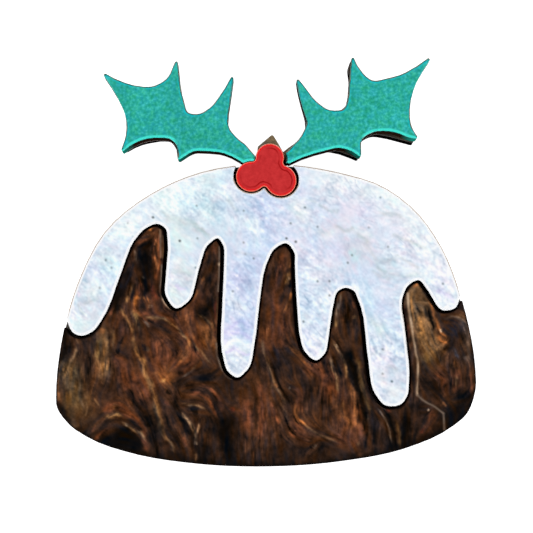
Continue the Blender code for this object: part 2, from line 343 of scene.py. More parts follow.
glue, tree, shader = new_finish("glue_amber")
place = add(tree, "ShaderNodeTexCoord", (-1000, 0))
uneven = add(
    tree, "ShaderNodeTexNoise", (-750, 0), Vector=(place, "Object"), Scale=700.0, Detail=3.0,
    Roughness=0.5,
)
shades = ramp(tree, (-500, 100), (uneven, "Fac"), (0.0, colour(44, 24, 14)), (1.0, colour(150, 92, 50)))
bump = add(tree, "ShaderNodeBump", (-300, -300), Height=(uneven, "Fac"), Strength=0.4, Distance=0.00003)
feed(tree, shader, Base_Color=(shades, "Color"), Normal=(bump, "Normal"))
shader.inputs["Roughness"].default_value = 0.25
glue_film.data.materials.clear()
glue_film.data.materials.append(glue)
smooth_walls(glue_film)
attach(glue_film, "root")


# ---- Pudding body ----
# The lower half of the pudding: marbled brown acrylic, cast with dark, rust and golden pigments that were
# stirred while it was liquid, so that they run down it in long streaks and curl round slow whirls. The sheet
# is cut by laser and glued to the base plate; its cut edge is charred nearly black.

# The pattern is laid on the sheet in cells this many millimetres wide, and the top edge is eased this much,
# in metres.
CELL = 0.12
BODY_RIM = 0.00005
MM_IN_METRE = 1000


def top_outline(piece):
    """The outline of a piece's top face, in millimetres."""
    top = max(filter(looks_up, piece.data.polygons), key=lambda face: face.area)
    return np.array([piece.data.vertices[i].co[:2] for i in top.vertices]) * MM_IN_METRE


def slice_top(piece, cell):
    """Slices the top face both ways, cell millimetres apart, so that it can take a pattern point by point."""
    low, high = (np.array(corner) * MM_IN_METRE for corner in (piece.bound_box[0], piece.bound_box[6]))
    bpy.ops.object.mode_set(mode="EDIT")
    bpy.ops.mesh.select_mode(type="FACE")
    select_faces(piece, lambda face: face.normal.z > 0.9999)
    bpy.ops.mesh.hide(unselected=True)
    for axis in (0, 1):
        across = (1, 0, 0) if axis == 0 else (0, 1, 0)
        for cut in np.arange(low[axis] + cell, high[axis], cell):
            spot = [0, 0, 0]
            spot[axis] = cut / MM_IN_METRE
            bpy.ops.mesh.select_all(action="SELECT")
            bpy.ops.mesh.bisect(plane_co=spot, plane_no=across, threshold=1e-8)
    bpy.ops.mesh.reveal()
    bpy.ops.mesh.select_all(action="DESELECT")
    bpy.ops.object.mode_set(mode="OBJECT")


def points_of(piece):
    """Where the points of a piece are, seen from above, in millimetres."""
    flat = np.zeros(len(piece.data.vertices) * 3)
    piece.data.vertices.foreach_get("co", flat)
    return flat.reshape(-1, 3)[:, :2] * MM_IN_METRE


def nearest(spots, line):
    """Each spot's distance from a line, how far along it that is, from 0 to 1, and the line's slope there."""
    distance = np.full(len(spots), 1e9)
    along = np.zeros(len(spots))
    slope = np.zeros(len(spots))
    runs = np.diff(line, axis=0)
    lengths = np.hypot(*runs.T)
    passed = np.concatenate([[0], np.cumsum(lengths)])
    for begin, run, length, before in zip(line, runs, lengths, passed):
        share = np.clip((spots - begin) @ run / length**2, 0, 1)
        gap = np.hypot(*(spots - begin - share[:, None] * run).T)
        closer = gap < distance
        distance[closer] = gap[closer]
        along[closer] = (before + share[closer] * length) / passed[-1]
        slope[closer] = math.atan2(run[1], run[0])
    return distance, along, slope


def edge_near(spots, outline):
    """How many millimetres each spot lies from the edge, up to one, and how far that edge faces the foot."""
    inside = np.ones(len(spots))
    to_foot = np.zeros(len(spots))
    for begin, finish in zip(outline, np.roll(outline, -1, axis=0)):
        low, high = np.minimum(begin, finish) - 1, np.maximum(begin, finish) + 1
        close = np.flatnonzero(((spots > low) & (spots < high)).all(axis=1))
        if len(close):
            distance = nearest(spots[close], np.array([begin, finish]))[0]
            closer = close[distance < inside[close]]
            inside[closer] = distance[distance < inside[close]]
            to_foot[closer] = (finish - begin)[0] / np.hypot(*(finish - begin))
    return inside, to_foot


def mark_edge(piece, outline):
    """Notes at each point of a piece how near the edge is and which way that edge faces."""
    inside, to_foot = edge_near(points_of(piece), outline)
    piece.data.attributes.new("inside_edge", "FLOAT", "POINT").data.foreach_set("value", inside)
    piece.data.attributes.new("faces_foot", "FLOAT", "POINT").data.foreach_set("value", to_foot)


class Canvas:
    """A fine grid of colours over a piece, in millimetres, on which its pattern is laid before it sets."""

    def __init__(self, outline, seed):
        self.low = outline.min(axis=0) - CELL
        count = np.ceil((outline.max(axis=0) + CELL - self.low) / CELL).astype(int) + 1
        self.shape = (count[1], count[0])
        rows, columns = np.mgrid[0:count[1], 0:count[0]]
        self.spots = np.column_stack([columns.ravel(), rows.ravel()]) * CELL + self.low
        self.chance = np.random.default_rng(seed)

    def close_to(self, line, reach):
        """The cells within reach of a line's box."""
        low, high = line.min(axis=0) - reach, line.max(axis=0) + reach
        return np.flatnonzero(((self.spots >= low) & (self.spots <= high)).all(axis=1))

    def blurred(self, field, reach):
        """A field spread out softly over reach millimetres."""
        down = np.fft.fftfreq(self.shape[0])[:, None]
        across = np.fft.rfftfreq(self.shape[1])[None, :]
        soft = np.exp(-2 * (np.pi * reach / CELL) ** 2 * (down**2 + across**2))
        return np.fft.irfft2(np.fft.rfft2(field) * soft, self.shape)

    def cloud(self, reach):
        """Random specks that size, with a mean of nought and a spread of one."""
        field = self.blurred(self.chance.standard_normal(self.shape), reach)
        return (field - field.mean()) / field.std()

    def drawn_out(self, field, slope, length):
        """A field drawn out along the flow, which has that slope at each cell."""
        ahead = np.cos(slope), np.sin(slope)
        total, weight = field, 1.0
        for way in (1, -1):
            row, column = (index.astype(float) for index in np.mgrid[0:self.shape[0], 0:self.shape[1]])
            step = ahead[0] * way, ahead[1] * way
            for i in range(int(length / CELL)):
                column = np.clip(column + step[0], 0, self.shape[1] - 1)
                row = np.clip(row + step[1], 0, self.shape[0] - 1)
                cell = np.round(row).astype(int), np.round(column).astype(int)
                turn = np.where(ahead[0][cell] * step[0] + ahead[1][cell] * step[1] < 0, -1.0, 1.0)
                step = ahead[0][cell] * turn, ahead[1][cell] * turn
                share = 1 - i * CELL / length
                total = total + share * field[cell]
                weight += share
        return total / weight

    def grain(self, slope, width, length):
        """Fine streaks along the flow, with a mean of nought and a spread of one."""
        field = self.drawn_out(self.cloud(width), slope, length)
        return (field - field.mean()) / field.std()

    def crisper(self, image):
        """The canvas with its finest threads drawn more strongly."""
        softer = np.stack([self.blurred(image[..., i], 0.16) for i in range(3)], axis=-1)
        return image + 0.5 * (image - softer)

    def lay_on(self, piece, image):
        """Gives each point of the piece the colour of the canvas there, between its four nearest cells."""
        column, row = ((points_of(piece) - self.low) / CELL).T
        left = np.clip(np.floor(column).astype(int), 0, self.shape[1] - 2)
        under = np.clip(np.floor(row).astype(int), 0, self.shape[0] - 2)
        right_share = np.clip(column - left, 0, 1)[:, None]
        upper_share = np.clip(row - under, 0, 1)[:, None]
        lower = image[under, left] * (1 - right_share) + image[under, left + 1] * right_share
        upper = image[under + 1, left] * (1 - right_share) + image[under + 1, left + 1] * right_share
        level = shader_levels(np.clip(lower * (1 - upper_share) + upper * upper_share, 0, 255))
        paint = np.column_stack([level, np.ones(len(level))]).astype(np.float32)
        piece.data.color_attributes.new("pattern", "FLOAT_COLOR", "POINT").data.foreach_set(
            "color", paint.ravel()
        )


def smooth_line(knots, steps=8):
    """An even curve through the knots."""
    knots = np.array(knots, float)
    if len(knots) == 2:
        return np.linspace(knots[0], knots[1], 3)
    before = np.vstack([2 * knots[0] - knots[1], knots[:-1]])
    after = np.vstack([knots[1:], 2 * knots[-1] - knots[-2]])
    slopes = (after - before) / 2
    line = []
    for i in range(len(knots) - 1):
        for t in np.arange(steps) / steps:
            line.append(
                knots[i] * (1 + 2 * t) * (1 - t) ** 2 + knots[i + 1] * t**2 * (3 - 2 * t)
                + slopes[i] * t * (1 - t) ** 2 - slopes[i + 1] * t**2 * (1 - t)
            )
    return np.array(line + [knots[-1]])


PIGMENTS = {
    "black": (9, 7, 6), "inky": (26, 24, 30), "dark": (38, 26, 20), "brown": (74, 46, 32),
    "rust": (111, 63, 41), "orange": (152, 93, 51), "gold": (170, 121, 72), "tan": (131, 99, 69),
    "olive": (104, 80, 50), "grey": (112, 95, 82), "pale": (196, 166, 136), "redbrown": (88, 40, 26),
    "slate": (58, 56, 64),
}

# Each streak or cloud of pigment: its colour, its width in millimetres, its strength and its course.
CLOUDS = (
    ("brown", 4.76, 0.9, ((-13.8, 2.5), (-13.8, -8.2))),
    ("rust", 3.09, 0.55, ((-10.8, -8.2), (-12.6, -13.2), (-15, -15.6))),
    ("rust", 2.62, 0.5, ((-7.9, -4.6), (-9.1, -10), (-10.5, -12))),
    ("rust", 2.38, 0.4, ((-15, -4.2), (-13.8, -6.1), (-10.7, -6.5))),
    ("olive", 3.57, 0.35, ((-23.3, -13.2), (-22.3, -16.5), (-21.3, -18.6))),
    ("dark", 3.09, 0.6, ((-8.8, -13.9), (-6.4, -14.1), (-4.5, -15.1))),
    ("dark", 3.57, 0.55, ((-4.5, -20.1), (-4.1, -23.6))),
    ("dark", 4.04, 0.55, ((1.9, -11.8), (3.5, -13.9), (3.5, -15.6))),
    ("dark", 4.04, 0.55, ((4.9, -15.6), (6.6, -16.3), (8, -17))),
    ("dark", 3.09, 0.5, ((4, -22.2), (7.5, -22.6), (0.4, -23.1))),
    ("dark", 3.57, 0.6, ((12.5, -16.5), (13.5, -20.1), (15.4, -22.2))),
    ("dark", 4.04, 0.55, ((19.2, -15.9), (20.6, -19.5), (17, -21.8))),
    ("dark", 2.38, 0.5, ((22.4, -10), (22.8, -12.4))),
    ("dark", 1.9, 0.6, ((-21.4, -9.4), (-21.4, -12))),
    ("rust", 3.09, 0.45, ((8.7, -16.5), (9.9, -20.1))),
    ("rust", 1.67, 0.4, ((-0.5, -15.3), (-0.5, -20.1))),
    ("rust", 2.38, 0.35, ((1.1, -2.3), (0.7, -8.2), (0.2, -10))),
    ("olive", 2.62, 0.5, ((18.3, -4.6), (18.7, -8.8), (19.4, -11.3))),
    ("tan", 1.6, 0.6, ((-19.4, -8.6), (-19.2, -11), (-19.2, -13.4))),
    ("olive", 2.2, 0.6, ((-23.4, -12.8), (-22.8, -14.6), (-22.6, -16.6))),
    ("rust", 1.4, 0.5, ((-17.4, -7.2), (-17.2, -8.8))),
    ("rust", 1.9, 0.7, ((-17.2, -11.8), (-16.4, -14.2))),
    ("rust", 2.0, 0.6, ((-13.2, -10.2), (-13, -12.6))),
    ("rust", 1.2, 0.6, ((-19, -17.6), (-17.7, -17.1), (-16.2, -18.2), (-14.9, -19.4))),
    ("tan", 0.9, 0.5, ((-13.2, -17.4), (-12.8, -19.4))),
    ("orange", 1.5, 0.4, ((-7.4, -7.6), (-6.6, -9.4))),
    ("rust", 1.8, 0.6, ((-8.8, -10.4), (-9.4, -12.6))),
    ("orange", 1.4, 0.5, ((-11.6, -13), (-11.5, -14.5))),
    ("rust", 2.0, 0.5, ((1.8, -6.2), (2, -8))),
    ("rust", 1.8, 0.5, ((0.4, -8.8), (1.6, -9.4))),
    ("rust", 1.8, 0.75, ((5.2, -12.5), (6.6, -12.9), (7.4, -15.2))),
    ("rust", 1.2, 0.45, ((4, -15.6), (4, -17.2))),
    ("orange", 1.5, 0.35, ((8.2, -17.2), (9, -18.2))),
    ("rust", 1.2, 0.5, ((11, -17.8), (11.3, -20.2))),
    ("rust", 1.2, 0.35, ((-5.6, -16.4), (-5.2, -17.8))),
    ("rust", 1.6, 0.6, ((-2.5, -17), (-2.4, -19.6))),
    ("rust", 1.4, 0.5, ((3.4, -19.6), (4.4, -21))),
    ("rust", 1.6, 0.5, ((8.8, -21), (10.4, -21.6))),
    ("tan", 2.0, 0.75, ((17.6, -3), (17.8, -5.2), (18.4, -8))),
    ("tan", 1.2, 0.6, ((19.5, -7.2), (19.9, -9), (20.7, -10.3))),
    ("grey", 1.2, 0.5, ((23.3, -6.8), (23.8, -9), (23.9, -11.4))),
    ("rust", 1.6, 0.5, ((20.6, -13.6), (21.2, -15))),
    ("black", 0.9, 0.6, ((-13.4, 2.6), (-14.8, 1.9))),
    ("black", 1.9, 0.85, ((-14.5, 0.8), (-14.3, -1.5), (-14.4, -3.3))),
    ("black", 1.2, 0.65, ((-16.4, -1.5), (-17.3, -3.6), (-17.9, -5.5))),
    ("dark", 1.3, 0.7, ((-15.3, -5.6), (-14.5, -5.4))),
    ("black", 2.0, 0.85, ((-7.7, -6), (-6.7, -5.2))),
    ("dark", 1.8, 0.35, ((-10.4, -7.5), (-10, -10.5))),
    ("black", 1.3, 0.8, ((-23.9, -8.5), (-23.8, -10), (-24.2, -11.6))),
    ("dark", 1.6, 0.6, ((-21.8, -19.8), (-20.6, -18.8))),
    ("dark", 2.2, 0.7, ((-9.6, -18.4), (-8.2, -18.9), (-7.2, -19.6))),
    ("black", 1.4, 0.6, ((-11, -22.9), (-9.8, -23.2))),
    ("black", 1.8, 0.85, ((-7.4, -22), (-7.2, -23.6))),
    ("black", 2.0, 0.85, ((-16.5, -20.7), (-15.3, -21.5), (-15.2, -22.4))),
    ("black", 2.2, 0.85, ((-18.6, -21.4), (-17, -20.9))),
    ("dark", 1.6, 0.4, ((-0.3, -20.8), (0.2, -22.6))),
    ("black", 1.8, 0.65, ((-4.4, -19), (-4.6, -21), (-4.2, -23.5))),
    ("dark", 1.6, 0.6, ((2.5, -23.2), (5, -23), (7, -22.6))),
    ("black", 1.5, 0.65, ((9.8, -11), (10.2, -13), (10.8, -15))),
    ("dark", 1.6, 0.5, ((9.3, -7.8), (9.4, -9.5))),
    ("dark", 1.0, 0.6, ((11.7, -12.5), (11.8, -16))),
    ("black", 1.3, 0.7, ((14.6, -18.8), (15, -20.4), (14.7, -22))),
    ("black", 1.3, 0.8, ((16.6, -18.6), (16.6, -20.4), (16.9, -21.6))),
    ("black", 2.6, 0.7, ((22, -18.4), (22.9, -17.4), (23.8, -16.2))),
    ("dark", 1.6, 0.45, ((0.8, -1.2), (1, -3.2))),
    ("dark", 1.4, 0.5, ((-0.9, -10.6), (-0.8, -12.4))),
    ("tan", 1.6, 0.65, ((17.2, -3.2), (17.6, -5), (18.4, -6.6))),
    ("tan", 1.3, 0.5, ((19, -9.2), (19.8, -10.8))),
    ("rust", 1.0, 0.5, ((22.5, -13.4), (22.7, -15))),
    ("black", 0.9, 0.7, ((16.4, -19), (16.4, -21))),
    ("dark", 1.2, 0.5, ((12.6, -17), (13.3, -18.8))),
    ("rust", 1.8, 0.6, ((-15.6, -14.2), (-14.8, -16))),
    ("orange", 1.6, 0.55, ((-7.2, -8), (-6.5, -9.6))),
    ("rust", 1.2, 0.5, ((7.4, -13.8), (7.6, -15.2))),
    ("rust", 1.0, 0.6, ((1.8, 0.4), (1.8, -0.8))),
    ("dark", 1.2, 0.4, ((0.6, -1.6), (0.9, -3))),
    ("tan", 1.4, 0.45, ((-23.8, -12.9), (-23.4, -14.2))),
    ("olive", 1.6, 0.4, ((-23.4, -16.6), (-23.4, -18.2))),
    ("black", 1.0, 0.7, ((-4.8, -19.4), (-4.6, -22.6))),
    ("black", 1.1, 0.65, ((-24.6, -17.2), (-22.5, -20), (-19, -21.9), (-15, -23.1), (-10, -23.8),
     (-5, -24.3),
     (1, -24.4), (6, -24.1), (11, -23.4), (15, -22.4), (19, -21.1), (22, -19.6), (24.2, -17.4))),
)
STREAKS = (
    ("orange", 0.71, 0.8, ((-14.1, 3.5), (-13.6, 3.8))),
    ("dark", 0.71, 0.8, ((-14.7, 2.9), (-14.1, 3.1))),
    ("rust", 0.48, 0.5, ((-15.3, 2), (-14.8, 2.4), (-14, 2.7))),
    ("black", 0.48, 0.9, ((-15.2, 1.7), (-14.2, 1.9), (-13.4, 2.5))),
    ("black", 1.55, 0.95, ((-14.7, 1.1), (-14.5, -0.1), (-14.4, -1.3))),
    ("black", 0.71, 0.9, ((-14.5, -1.6), (-14.4, -2.7), (-14.2, -3.9))),
    ("inky", 0.83, 0.7, ((-15.6, -0.1), (-16.4, -1.8), (-17.2, -3.5))),
    ("grey", 0.36, 0.51, ((-15.7, 1.4), (-15.5, 0.6), (-15.5, -0.2))),
    ("redbrown", 0.36, 0.3, ((-16.2, -0.1), (-16.3, -0.8))),
    ("grey", 0.3, 0.2, ((-14.7, -1.8), (-14.4, -2.1))),
    ("rust", 0.71, 0.85, ((-13, 3.1), (-13, 0.8), (-12.9, -0.7), (-13.1, -2.3))),
    ("orange", 0.36, 0.59, ((-13.1, 2.7), (-13.1, 0.6), (-13, -1.3))),
    ("redbrown", 0.95, 0.6, ((-13.4, -2.5), (-13.3, -3.7), (-12.9, -4.6))),
    ("black", 0.42, 0.7, ((-12.8, -2.3), (-12.9, -3.6), (-12.5, -4.5))),
    ("rust", 0.48, 0.8, ((-15.1, -2.3), (-14.9, -3.3), (-15, -4.3))),
    ("gold", 0.42, 0.64, ((-16, -2.7), (-16.4, -4.2), (-16.7, -5.1))),
    ("black", 0.59, 0.6, ((-15.7, -2.3), (-15.8, -3.7), (-15.7, -4.9))),
    ("black", 0.83, 0.6, ((-17, -3.2), (-17.6, -4.6), (-18.2, -6.1))),
    ("redbrown", 0.48, 0.6, ((-18.2, -4.4), (-18.6, -5.4))),
    ("orange", 0.42, 0.68, ((-15.7, -5.4), (-15.5, -4.5), (-14.8, -4.3), (-14.1, -4.6), (-13.8, -5.4))),
    ("rust", 0.42, 0.7, ((-13.8, -5.4), (-14.1, -6.1), (-14.9, -6.3), (-15.6, -6), (-15.7, -5.4))),
    ("dark", 0.71, 0.6, ((-15, -5.1), (-14.5, -5.4))),
    ("pale", 0.31, 0.9, ((-13.8, -5.1), (-13.7, -5.6))),
    ("dark", 0.59, 0.8, ((-15.1, -6.4), (-14.9, -7), (-15, -8.2), (-15, -9.4))),
    ("gold", 0.38, 0.45, ((-17.4, -5.7), (-16.7, -6.7), (-16.1, -7.9), (-15.7, -8.9))),
    ("olive", 0.71, 0.75, ((-15.8, -5.7), (-15.5, -6.9), (-15.5, -8.2))),
    ("tan", 0.36, 0.77, ((-14.3, -6.7), (-13, -6.8), (-11.9, -7), (-10.8, -7.9), (-10, -8.7),
     (-9.2, -9.5))),
    ("dark", 1.07, 0.75, ((-13.6, -7.6), (-12.4, -7.9), (-11, -8.7))),
    ("grey", 0.33, 0.81, ((-14.5, -7.1), (-13.8, -7.9))),
    ("black", 0.36, 0.6, ((-14.1, -7), (-13.3, -7.4))),
    ("orange", 0.71, 0.45, ((-19.3, -7.9), (-19.5, -8.7))),
    ("tan", 0.36, 0.3, ((-18.3, -8), (-18.3, -9.2))),
    ("dark", 0.36, 0.8, ((-18.8, -8.2), (-18.7, -9.6), (-18.5, -10.8))),
    ("rust", 0.36, 0.6, ((-18.2, -5.4), (-18.6, -6.4))),
    ("dark", 0.48, 0.7, ((-17.1, -6.8), (-17.6, -8.2), (-17.7, -9.2))),
    ("rust", 0.59, 0.6, ((-6.3, 1.8), (-6.3, 0.8))),
    ("dark", 0.71, 0.7, ((-6.3, 0.4), (-6.8, -1.3), (-7.3, -2.5))),
    ("orange", 0.36, 0.55, ((-7.5, -1.8), (-8.1, -3.6), (-8.7, -4.9))),
    ("rust", 0.48, 0.5, ((-8.1, -4.2), (-8.8, -5.8), (-9.3, -7.3))),
    ("black", 1.19, 0.8, ((-7.4, -5.6), (-6.8, -6))),
    ("dark", 0.59, 0.6, ((-6, -2.7), (-6.3, -4.6))),
    ("tan", 0.31, 0.59, ((-8.1, -6.3), (-7.2, -6.9), (-6.3, -8))),
    ("tan", 0.3, 0.75, ((-6, -6.8), (-6, -7.7))),
    ("redbrown", 0.36, 0.6, ((-6, -4.6), (-6, -6.8), (-6, -9.4))),
    ("orange", 0.59, 0.42, ((-9.4, -6.1), (-9.1, -7.7), (-8.6, -9.4))),
    ("dark", 1.19, 0.55, ((-12.3, -8.3), (-11.2, -9.4), (-10.2, -10.3))),
    ("gold", 0.5, 0.8, ((2.8, -1.3), (2.5, -2.1), (2.2, -3))),
    ("pale", 0.22, 0.51, ((2.7, -1.8), (2.5, -2.4))),
    ("slate", 0.5, 0.8, ((21.6, -8.1), (22.4, -8.4), (22.8, -9))),
    ("slate", 0.36, 0.7, ((22.2, -10.2), (22.8, -11.6))),
    ("grey", 0.36, 0.51, ((21.1, -7), (22, -6.7), (23.1, -6.9), (23.4, -7.8))),
    ("pale", 0.3, 0.68, ((19.1, -17.7), (19.3, -17.7))),
    ("redbrown", 0.5, 0.7, ((16.6, -5.2), (16.6, -7.6), (16.9, -9.6))),
    ("orange", 0.48, 0.6, ((2.9, 0.4), (2.7, -1.1))),
    ("tan", 0.31, 0.59, ((2.8, 1.4), (2.8, 0.8))),
    ("orange", 0.31, 0.68, ((3.1, -3.5), (2.5, -5.1), (2, -6.2))),
    ("orange", 0.38, 0.59, ((3.2, -4.6), (3.2, -6.1))),
    ("rust", 0.48, 0.6, ((1.7, 0.4), (1.5, -1.1), (1, -3.2), (0.9, -6.1))),
    ("dark", 0.59, 0.6, ((2.1, -3.5), (1.7, -5.1))),
    ("black", 0.48, 0.7, ((2.9, -2.3), (2.8, -3.2))),
    ("dark", 0.71, 0.6, ((0.4, -1.3), (0.2, -3.5))),
    ("orange", 0.31, 0.51, ((0.2, -7.7), (0, -9.4))),
    ("rust", 0.36, 0.5, ((2.1, -7), (2.5, -8.9))),
    ("grey", 0.43, 0.72, ((8.8, -3.9), (8.5, -5.4), (8.3, -6.8))),
    ("olive", 0.65, 0.6, ((8.2, -6.8), (8.2, -7.9))),
    ("gold", 0.31, 0.3, ((8.3, -7), (8.3, -8))),
    ("black", 0.95, 0.85, ((9.4, -4.5), (9.5, -6.1), (9.6, -7.7))),
    ("gold", 0.43, 0.75, ((10.5, -6.4), (10.5, -7))),
    ("rust", 0.36, 0.5, ((10.1, -4.8), (10.5, -5.7))),
    ("dark", 0.59, 0.7, ((8.2, -8.7), (8.7, -9.4))),
    ("dark", 0.59, 0.6, ((10.9, -7.7), (11, -10))),
    ("orange", 0.59, 0.68, ((17.4, -3.1), (18, -2.7))),
    ("gold", 0.48, 0.72, ((17.4, -3.4), (17.2, -4.9), (17.4, -6.5))),
    ("grey", 0.9, 0.5, ((18, -3.9), (18.2, -4.4))),
    ("tan", 0.21, 0.77, ((17.6, -4.9), (18.4, -4.9), (19.3, -5))),
    ("orange", 0.36, 0.72, ((19.2, -4.4), (19.7, -5.5), (19.9, -6.5), (20.3, -7.6), (20.8, -8.4),
     (21.5, -9.2))),
    ("pale", 0.31, 0.68, ((20.6, -8), (20.9, -8.4))),
    ("black", 0.54, 0.85, ((19.1, -5.5), (19.6, -6.8), (20, -8.3))),
    ("gold", 0.71, 0.6, ((18, -6.5), (18.4, -8), (18.7, -9.2))),
    ("gold", 0.71, 0.8, ((18.1, -8.4), (18.4, -9.2))),
    ("gold", 0.83, 0.95, ((18.4, -8.9), (19, -9.9), (19.7, -10.8), (20, -11.3))),
    ("olive", 1.07, 0.7, ((18.8, -10.8), (19.4, -11.8))),
    ("inky", 1.78, 0.95, ((21.7, -7), (22.5, -8.2), (22.4, -9.4))),
    ("grey", 0.48, 0.3, ((22.4, -6.7), (23.3, -7))),
    ("orange", 0.48, 0.81, ((20.6, -8.6), (20.6, -9.4), (21.2, -9.7), (21.7, -9.4))),
    ("inky", 0.71, 0.9, ((22.2, -9.6), (21.6, -10.2), (21, -10.6))),
    ("black", 0.36, 0.7, ((21.5, -10.1), (21, -10.7))),
    ("dark", 0.95, 0.6, ((23.1, -10.3), (23.7, -11.5))),
    ("rust", 0.48, 0.7, ((20.1, -13.4), (21, -14.1), (20.8, -14.8))),
    ("orange", 0.36, 0.6, ((22.3, -11.8), (22.4, -12.7))),
    ("tan", 0.36, 0.8, ((22.5, -13.7), (22.6, -14.8))),
    ("rust", 0.48, 0.7, ((24.3, -13.2), (24.3, -14.6), (24, -16))),
    ("black", 1.19, 0.7, ((22.7, -16.3), (23.7, -16))),
    ("orange", 0.59, 0.51, ((20.8, -16.6), (21.3, -17.3))),
    ("rust", 0.95, 0.5, ((19.9, -17.7), (19.2, -19.3), (18.7, -20.1))),
    ("black", 0.48, 0.8, ((17.3, -12.5), (17.3, -14.6))),
    ("tan", 0.24, 0.51, ((16.9, -9.4), (16.9, -10.8))),
    ("black", 0.83, 0.6, ((18.5, -13.7), (19.7, -15.1), (20.6, -16))),
    ("redbrown", 0.36, 0.7, ((18.7, -19.8), (18.3, -20.5))),
    ("tan", 0.36, 0.68, ((-22.5, -10.2), (-22.9, -11.5), (-23.3, -12.2))),
    ("gold", 0.59, 0.9, ((-23.7, -12.5), (-24, -13.7))),
    ("olive", 0.3, 0.6, ((-22.7, -12.5), (-22.7, -14.1))),
    ("tan", 0.31, 0.51, ((-22.1, -13.4), (-22.1, -15.8))),
    ("inky", 0.42, 0.6, ((-23.3, -9.4), (-23.6, -11.1))),
    ("tan", 0.36, 0.2, ((-22.6, -9.2), (-22.2, -9.9))),
    ("olive", 0.95, 0.75, ((-19.7, -8.9), (-19.8, -10.8), (-20, -12))),
    ("gold", 0.54, 0.55, ((-19.1, -9.2), (-19, -10.1), (-19.1, -11.3))),
    ("tan", 0.36, 0.55, ((-18, -8.2), (-18.2, -10.3))),
    ("gold", 1.07, 0.6, ((-19, -11.9), (-19.1, -13.2))),
    ("black", 0.95, 0.8, ((-18.1, -10.8), (-17.4, -11.1))),
    ("black", 0.42, 0.7, ((-16.8, -9), (-17.5, -9.9))),
    ("black", 0.48, 0.7, ((-18.3, -13.9), (-18.5, -14.8), (-19, -15.8))),
    ("dark", 0.59, 0.6, ((-19.9, -15.1), (-20.5, -16.3))),
    ("tan", 0.54, 0.59, ((-21.7, -16.5), (-21.2, -17.7), (-21.7, -18.5))),
    ("gold", 0.59, 0.2, ((-23.1, -18.8), (-22.3, -19.8))),
    ("orange", 0.36, 0.42, ((-24.8, -15.6), (-24.6, -16.7))),
    ("dark", 0.59, 0.75, ((-19.2, -17.9), (-20.3, -19), (-21.3, -19.8))),
    ("tan", 0.24, 0.42, ((-20.4, -16.3), (-19.8, -17.2))),
    ("gold", 0.57, 0.65, ((-15.8, -8.9), (-15.5, -10.6), (-14.6, -12), (-14.3, -13.5), (-13.8, -14.6),
     (-13.3, -15.8), (-13, -17.2), (-12.7, -18.6))),
    ("tan", 0.48, 0.64, ((-12.7, -18.6), (-12.6, -19.7), (-12.1, -20.8), (-11.3, -21.6),
     (-10.9, -22.6))),
    ("inky", 0.65, 0.95, ((-14.6, -9.8), (-14.4, -10.8))),
    ("grey", 0.36, 0.51, ((-14.1, -10.1), (-14, -10.8))),
    ("orange", 1.07, 0.75, ((-13.1, -12.7), (-12.5, -13.7), (-12, -14.4))),
    ("gold", 0.48, 0.77, ((-12.4, -14.4), (-11.9, -14.1))),
    ("orange", 0.59, 0.42, ((-15.1, -15.6), (-14.7, -16.3))),
    ("rust", 0.71, 0.6, ((-17.3, -13.2), (-16.9, -14.6), (-16.4, -15.6))),
    ("black", 0.71, 0.9, ((-16.5, -15.1), (-15.7, -16.7), (-14.4, -18.3), (-13.8, -19.8))),
    ("black", 1.07, 0.95, ((-14.3, -18.2), (-13.5, -19.8), (-13.1, -21.5), (-12.6, -23.6))),
    ("dark", 0.24, 0.6, ((-13.8, -20), (-13.4, -21.5), (-13.1, -23.1))),
    ("black", 0.59, 0.7, ((-12.1, -18.2), (-11.6, -19.8), (-10.5, -21.2), (-9.7, -22.6))),
    ("black", 0.59, 0.4, ((-13.5, -17.2), (-12.8, -19.3), (-12.2, -21))),
    ("rust", 0.59, 0.8, ((-19.2, -17.9), (-18.3, -17.2), (-17.6, -17.1), (-16.6, -17.8), (-15.7, -18.6),
     (-14.8, -19.8), (-14.4, -21), (-14, -22.6))),
    ("gold", 0.48, 0.8, ((-18.3, -17.3), (-17.6, -17.2))),
    ("gold", 0.48, 0.83, ((-19.1, -18.9), (-18.4, -18.5), (-17.8, -18.2), (-17.2, -18.4))),
    ("rust", 0.48, 0.7, ((-20.9, -20.3), (-19.9, -19.3), (-19.1, -18.9))),
    ("dark", 0.48, 0.95, ((-20.2, -20.8), (-19.2, -19.6), (-18.3, -18.9), (-17.4, -18.9), (-16.3, -19),
     (-15.2, -19.6), (-14.6, -20.3))),
    ("tan", 0.36, 0.77, ((-17.2, -19), (-16.5, -19.5), (-15.7, -20), (-14.8, -20.5), (-14.2, -21.3))),
    ("pale", 0.26, 0.81, ((-16.7, -19.4), (-16.3, -19.6))),
    ("rust", 0.48, 0.7, ((-20.4, -21.3), (-19.4, -20.3), (-18.5, -19.7))),
    ("black", 1.78, 0.98, ((-18, -21.2), (-17.1, -21), (-15.9, -21.2))),
    ("black", 1.19, 0.9, ((-18.7, -22.2), (-16.8, -21.9), (-15.2, -22.2))),
    ("orange", 0.71, 0.6, ((-8.9, -9.2), (-9.4, -10.7), (-10.4, -12))),
    ("gold", 0.48, 0.3, ((-9.2, -9.5), (-8.9, -10.2))),
    ("tan", 0.29, 0.4, ((-8, -10.3), (-7.3, -11.3), (-6.6, -12.2))),
    ("tan", 0.29, 0.8, ((-8.7, -9.6), (-8, -10.8))),
    ("grey", 0.26, 0.81, ((-8.2, -12.4), (-8.9, -13), (-9.9, -13.8))),
    ("black", 0.59, 0.6, ((-10.5, -13.3), (-9.6, -13.1))),
    ("black", 0.71, 0.6, ((-8.3, -13.9), (-6.9, -13.9), (-5.9, -13.3))),
    ("black", 0.48, 0.7, ((-11.9, -15.3), (-11.4, -15.9))),
    ("rust", 0.54, 0.85, ((-9, -15.7), (-7.9, -15.6), (-6.9, -16.3), (-6.4, -17.2), (-5.8, -18.4))),
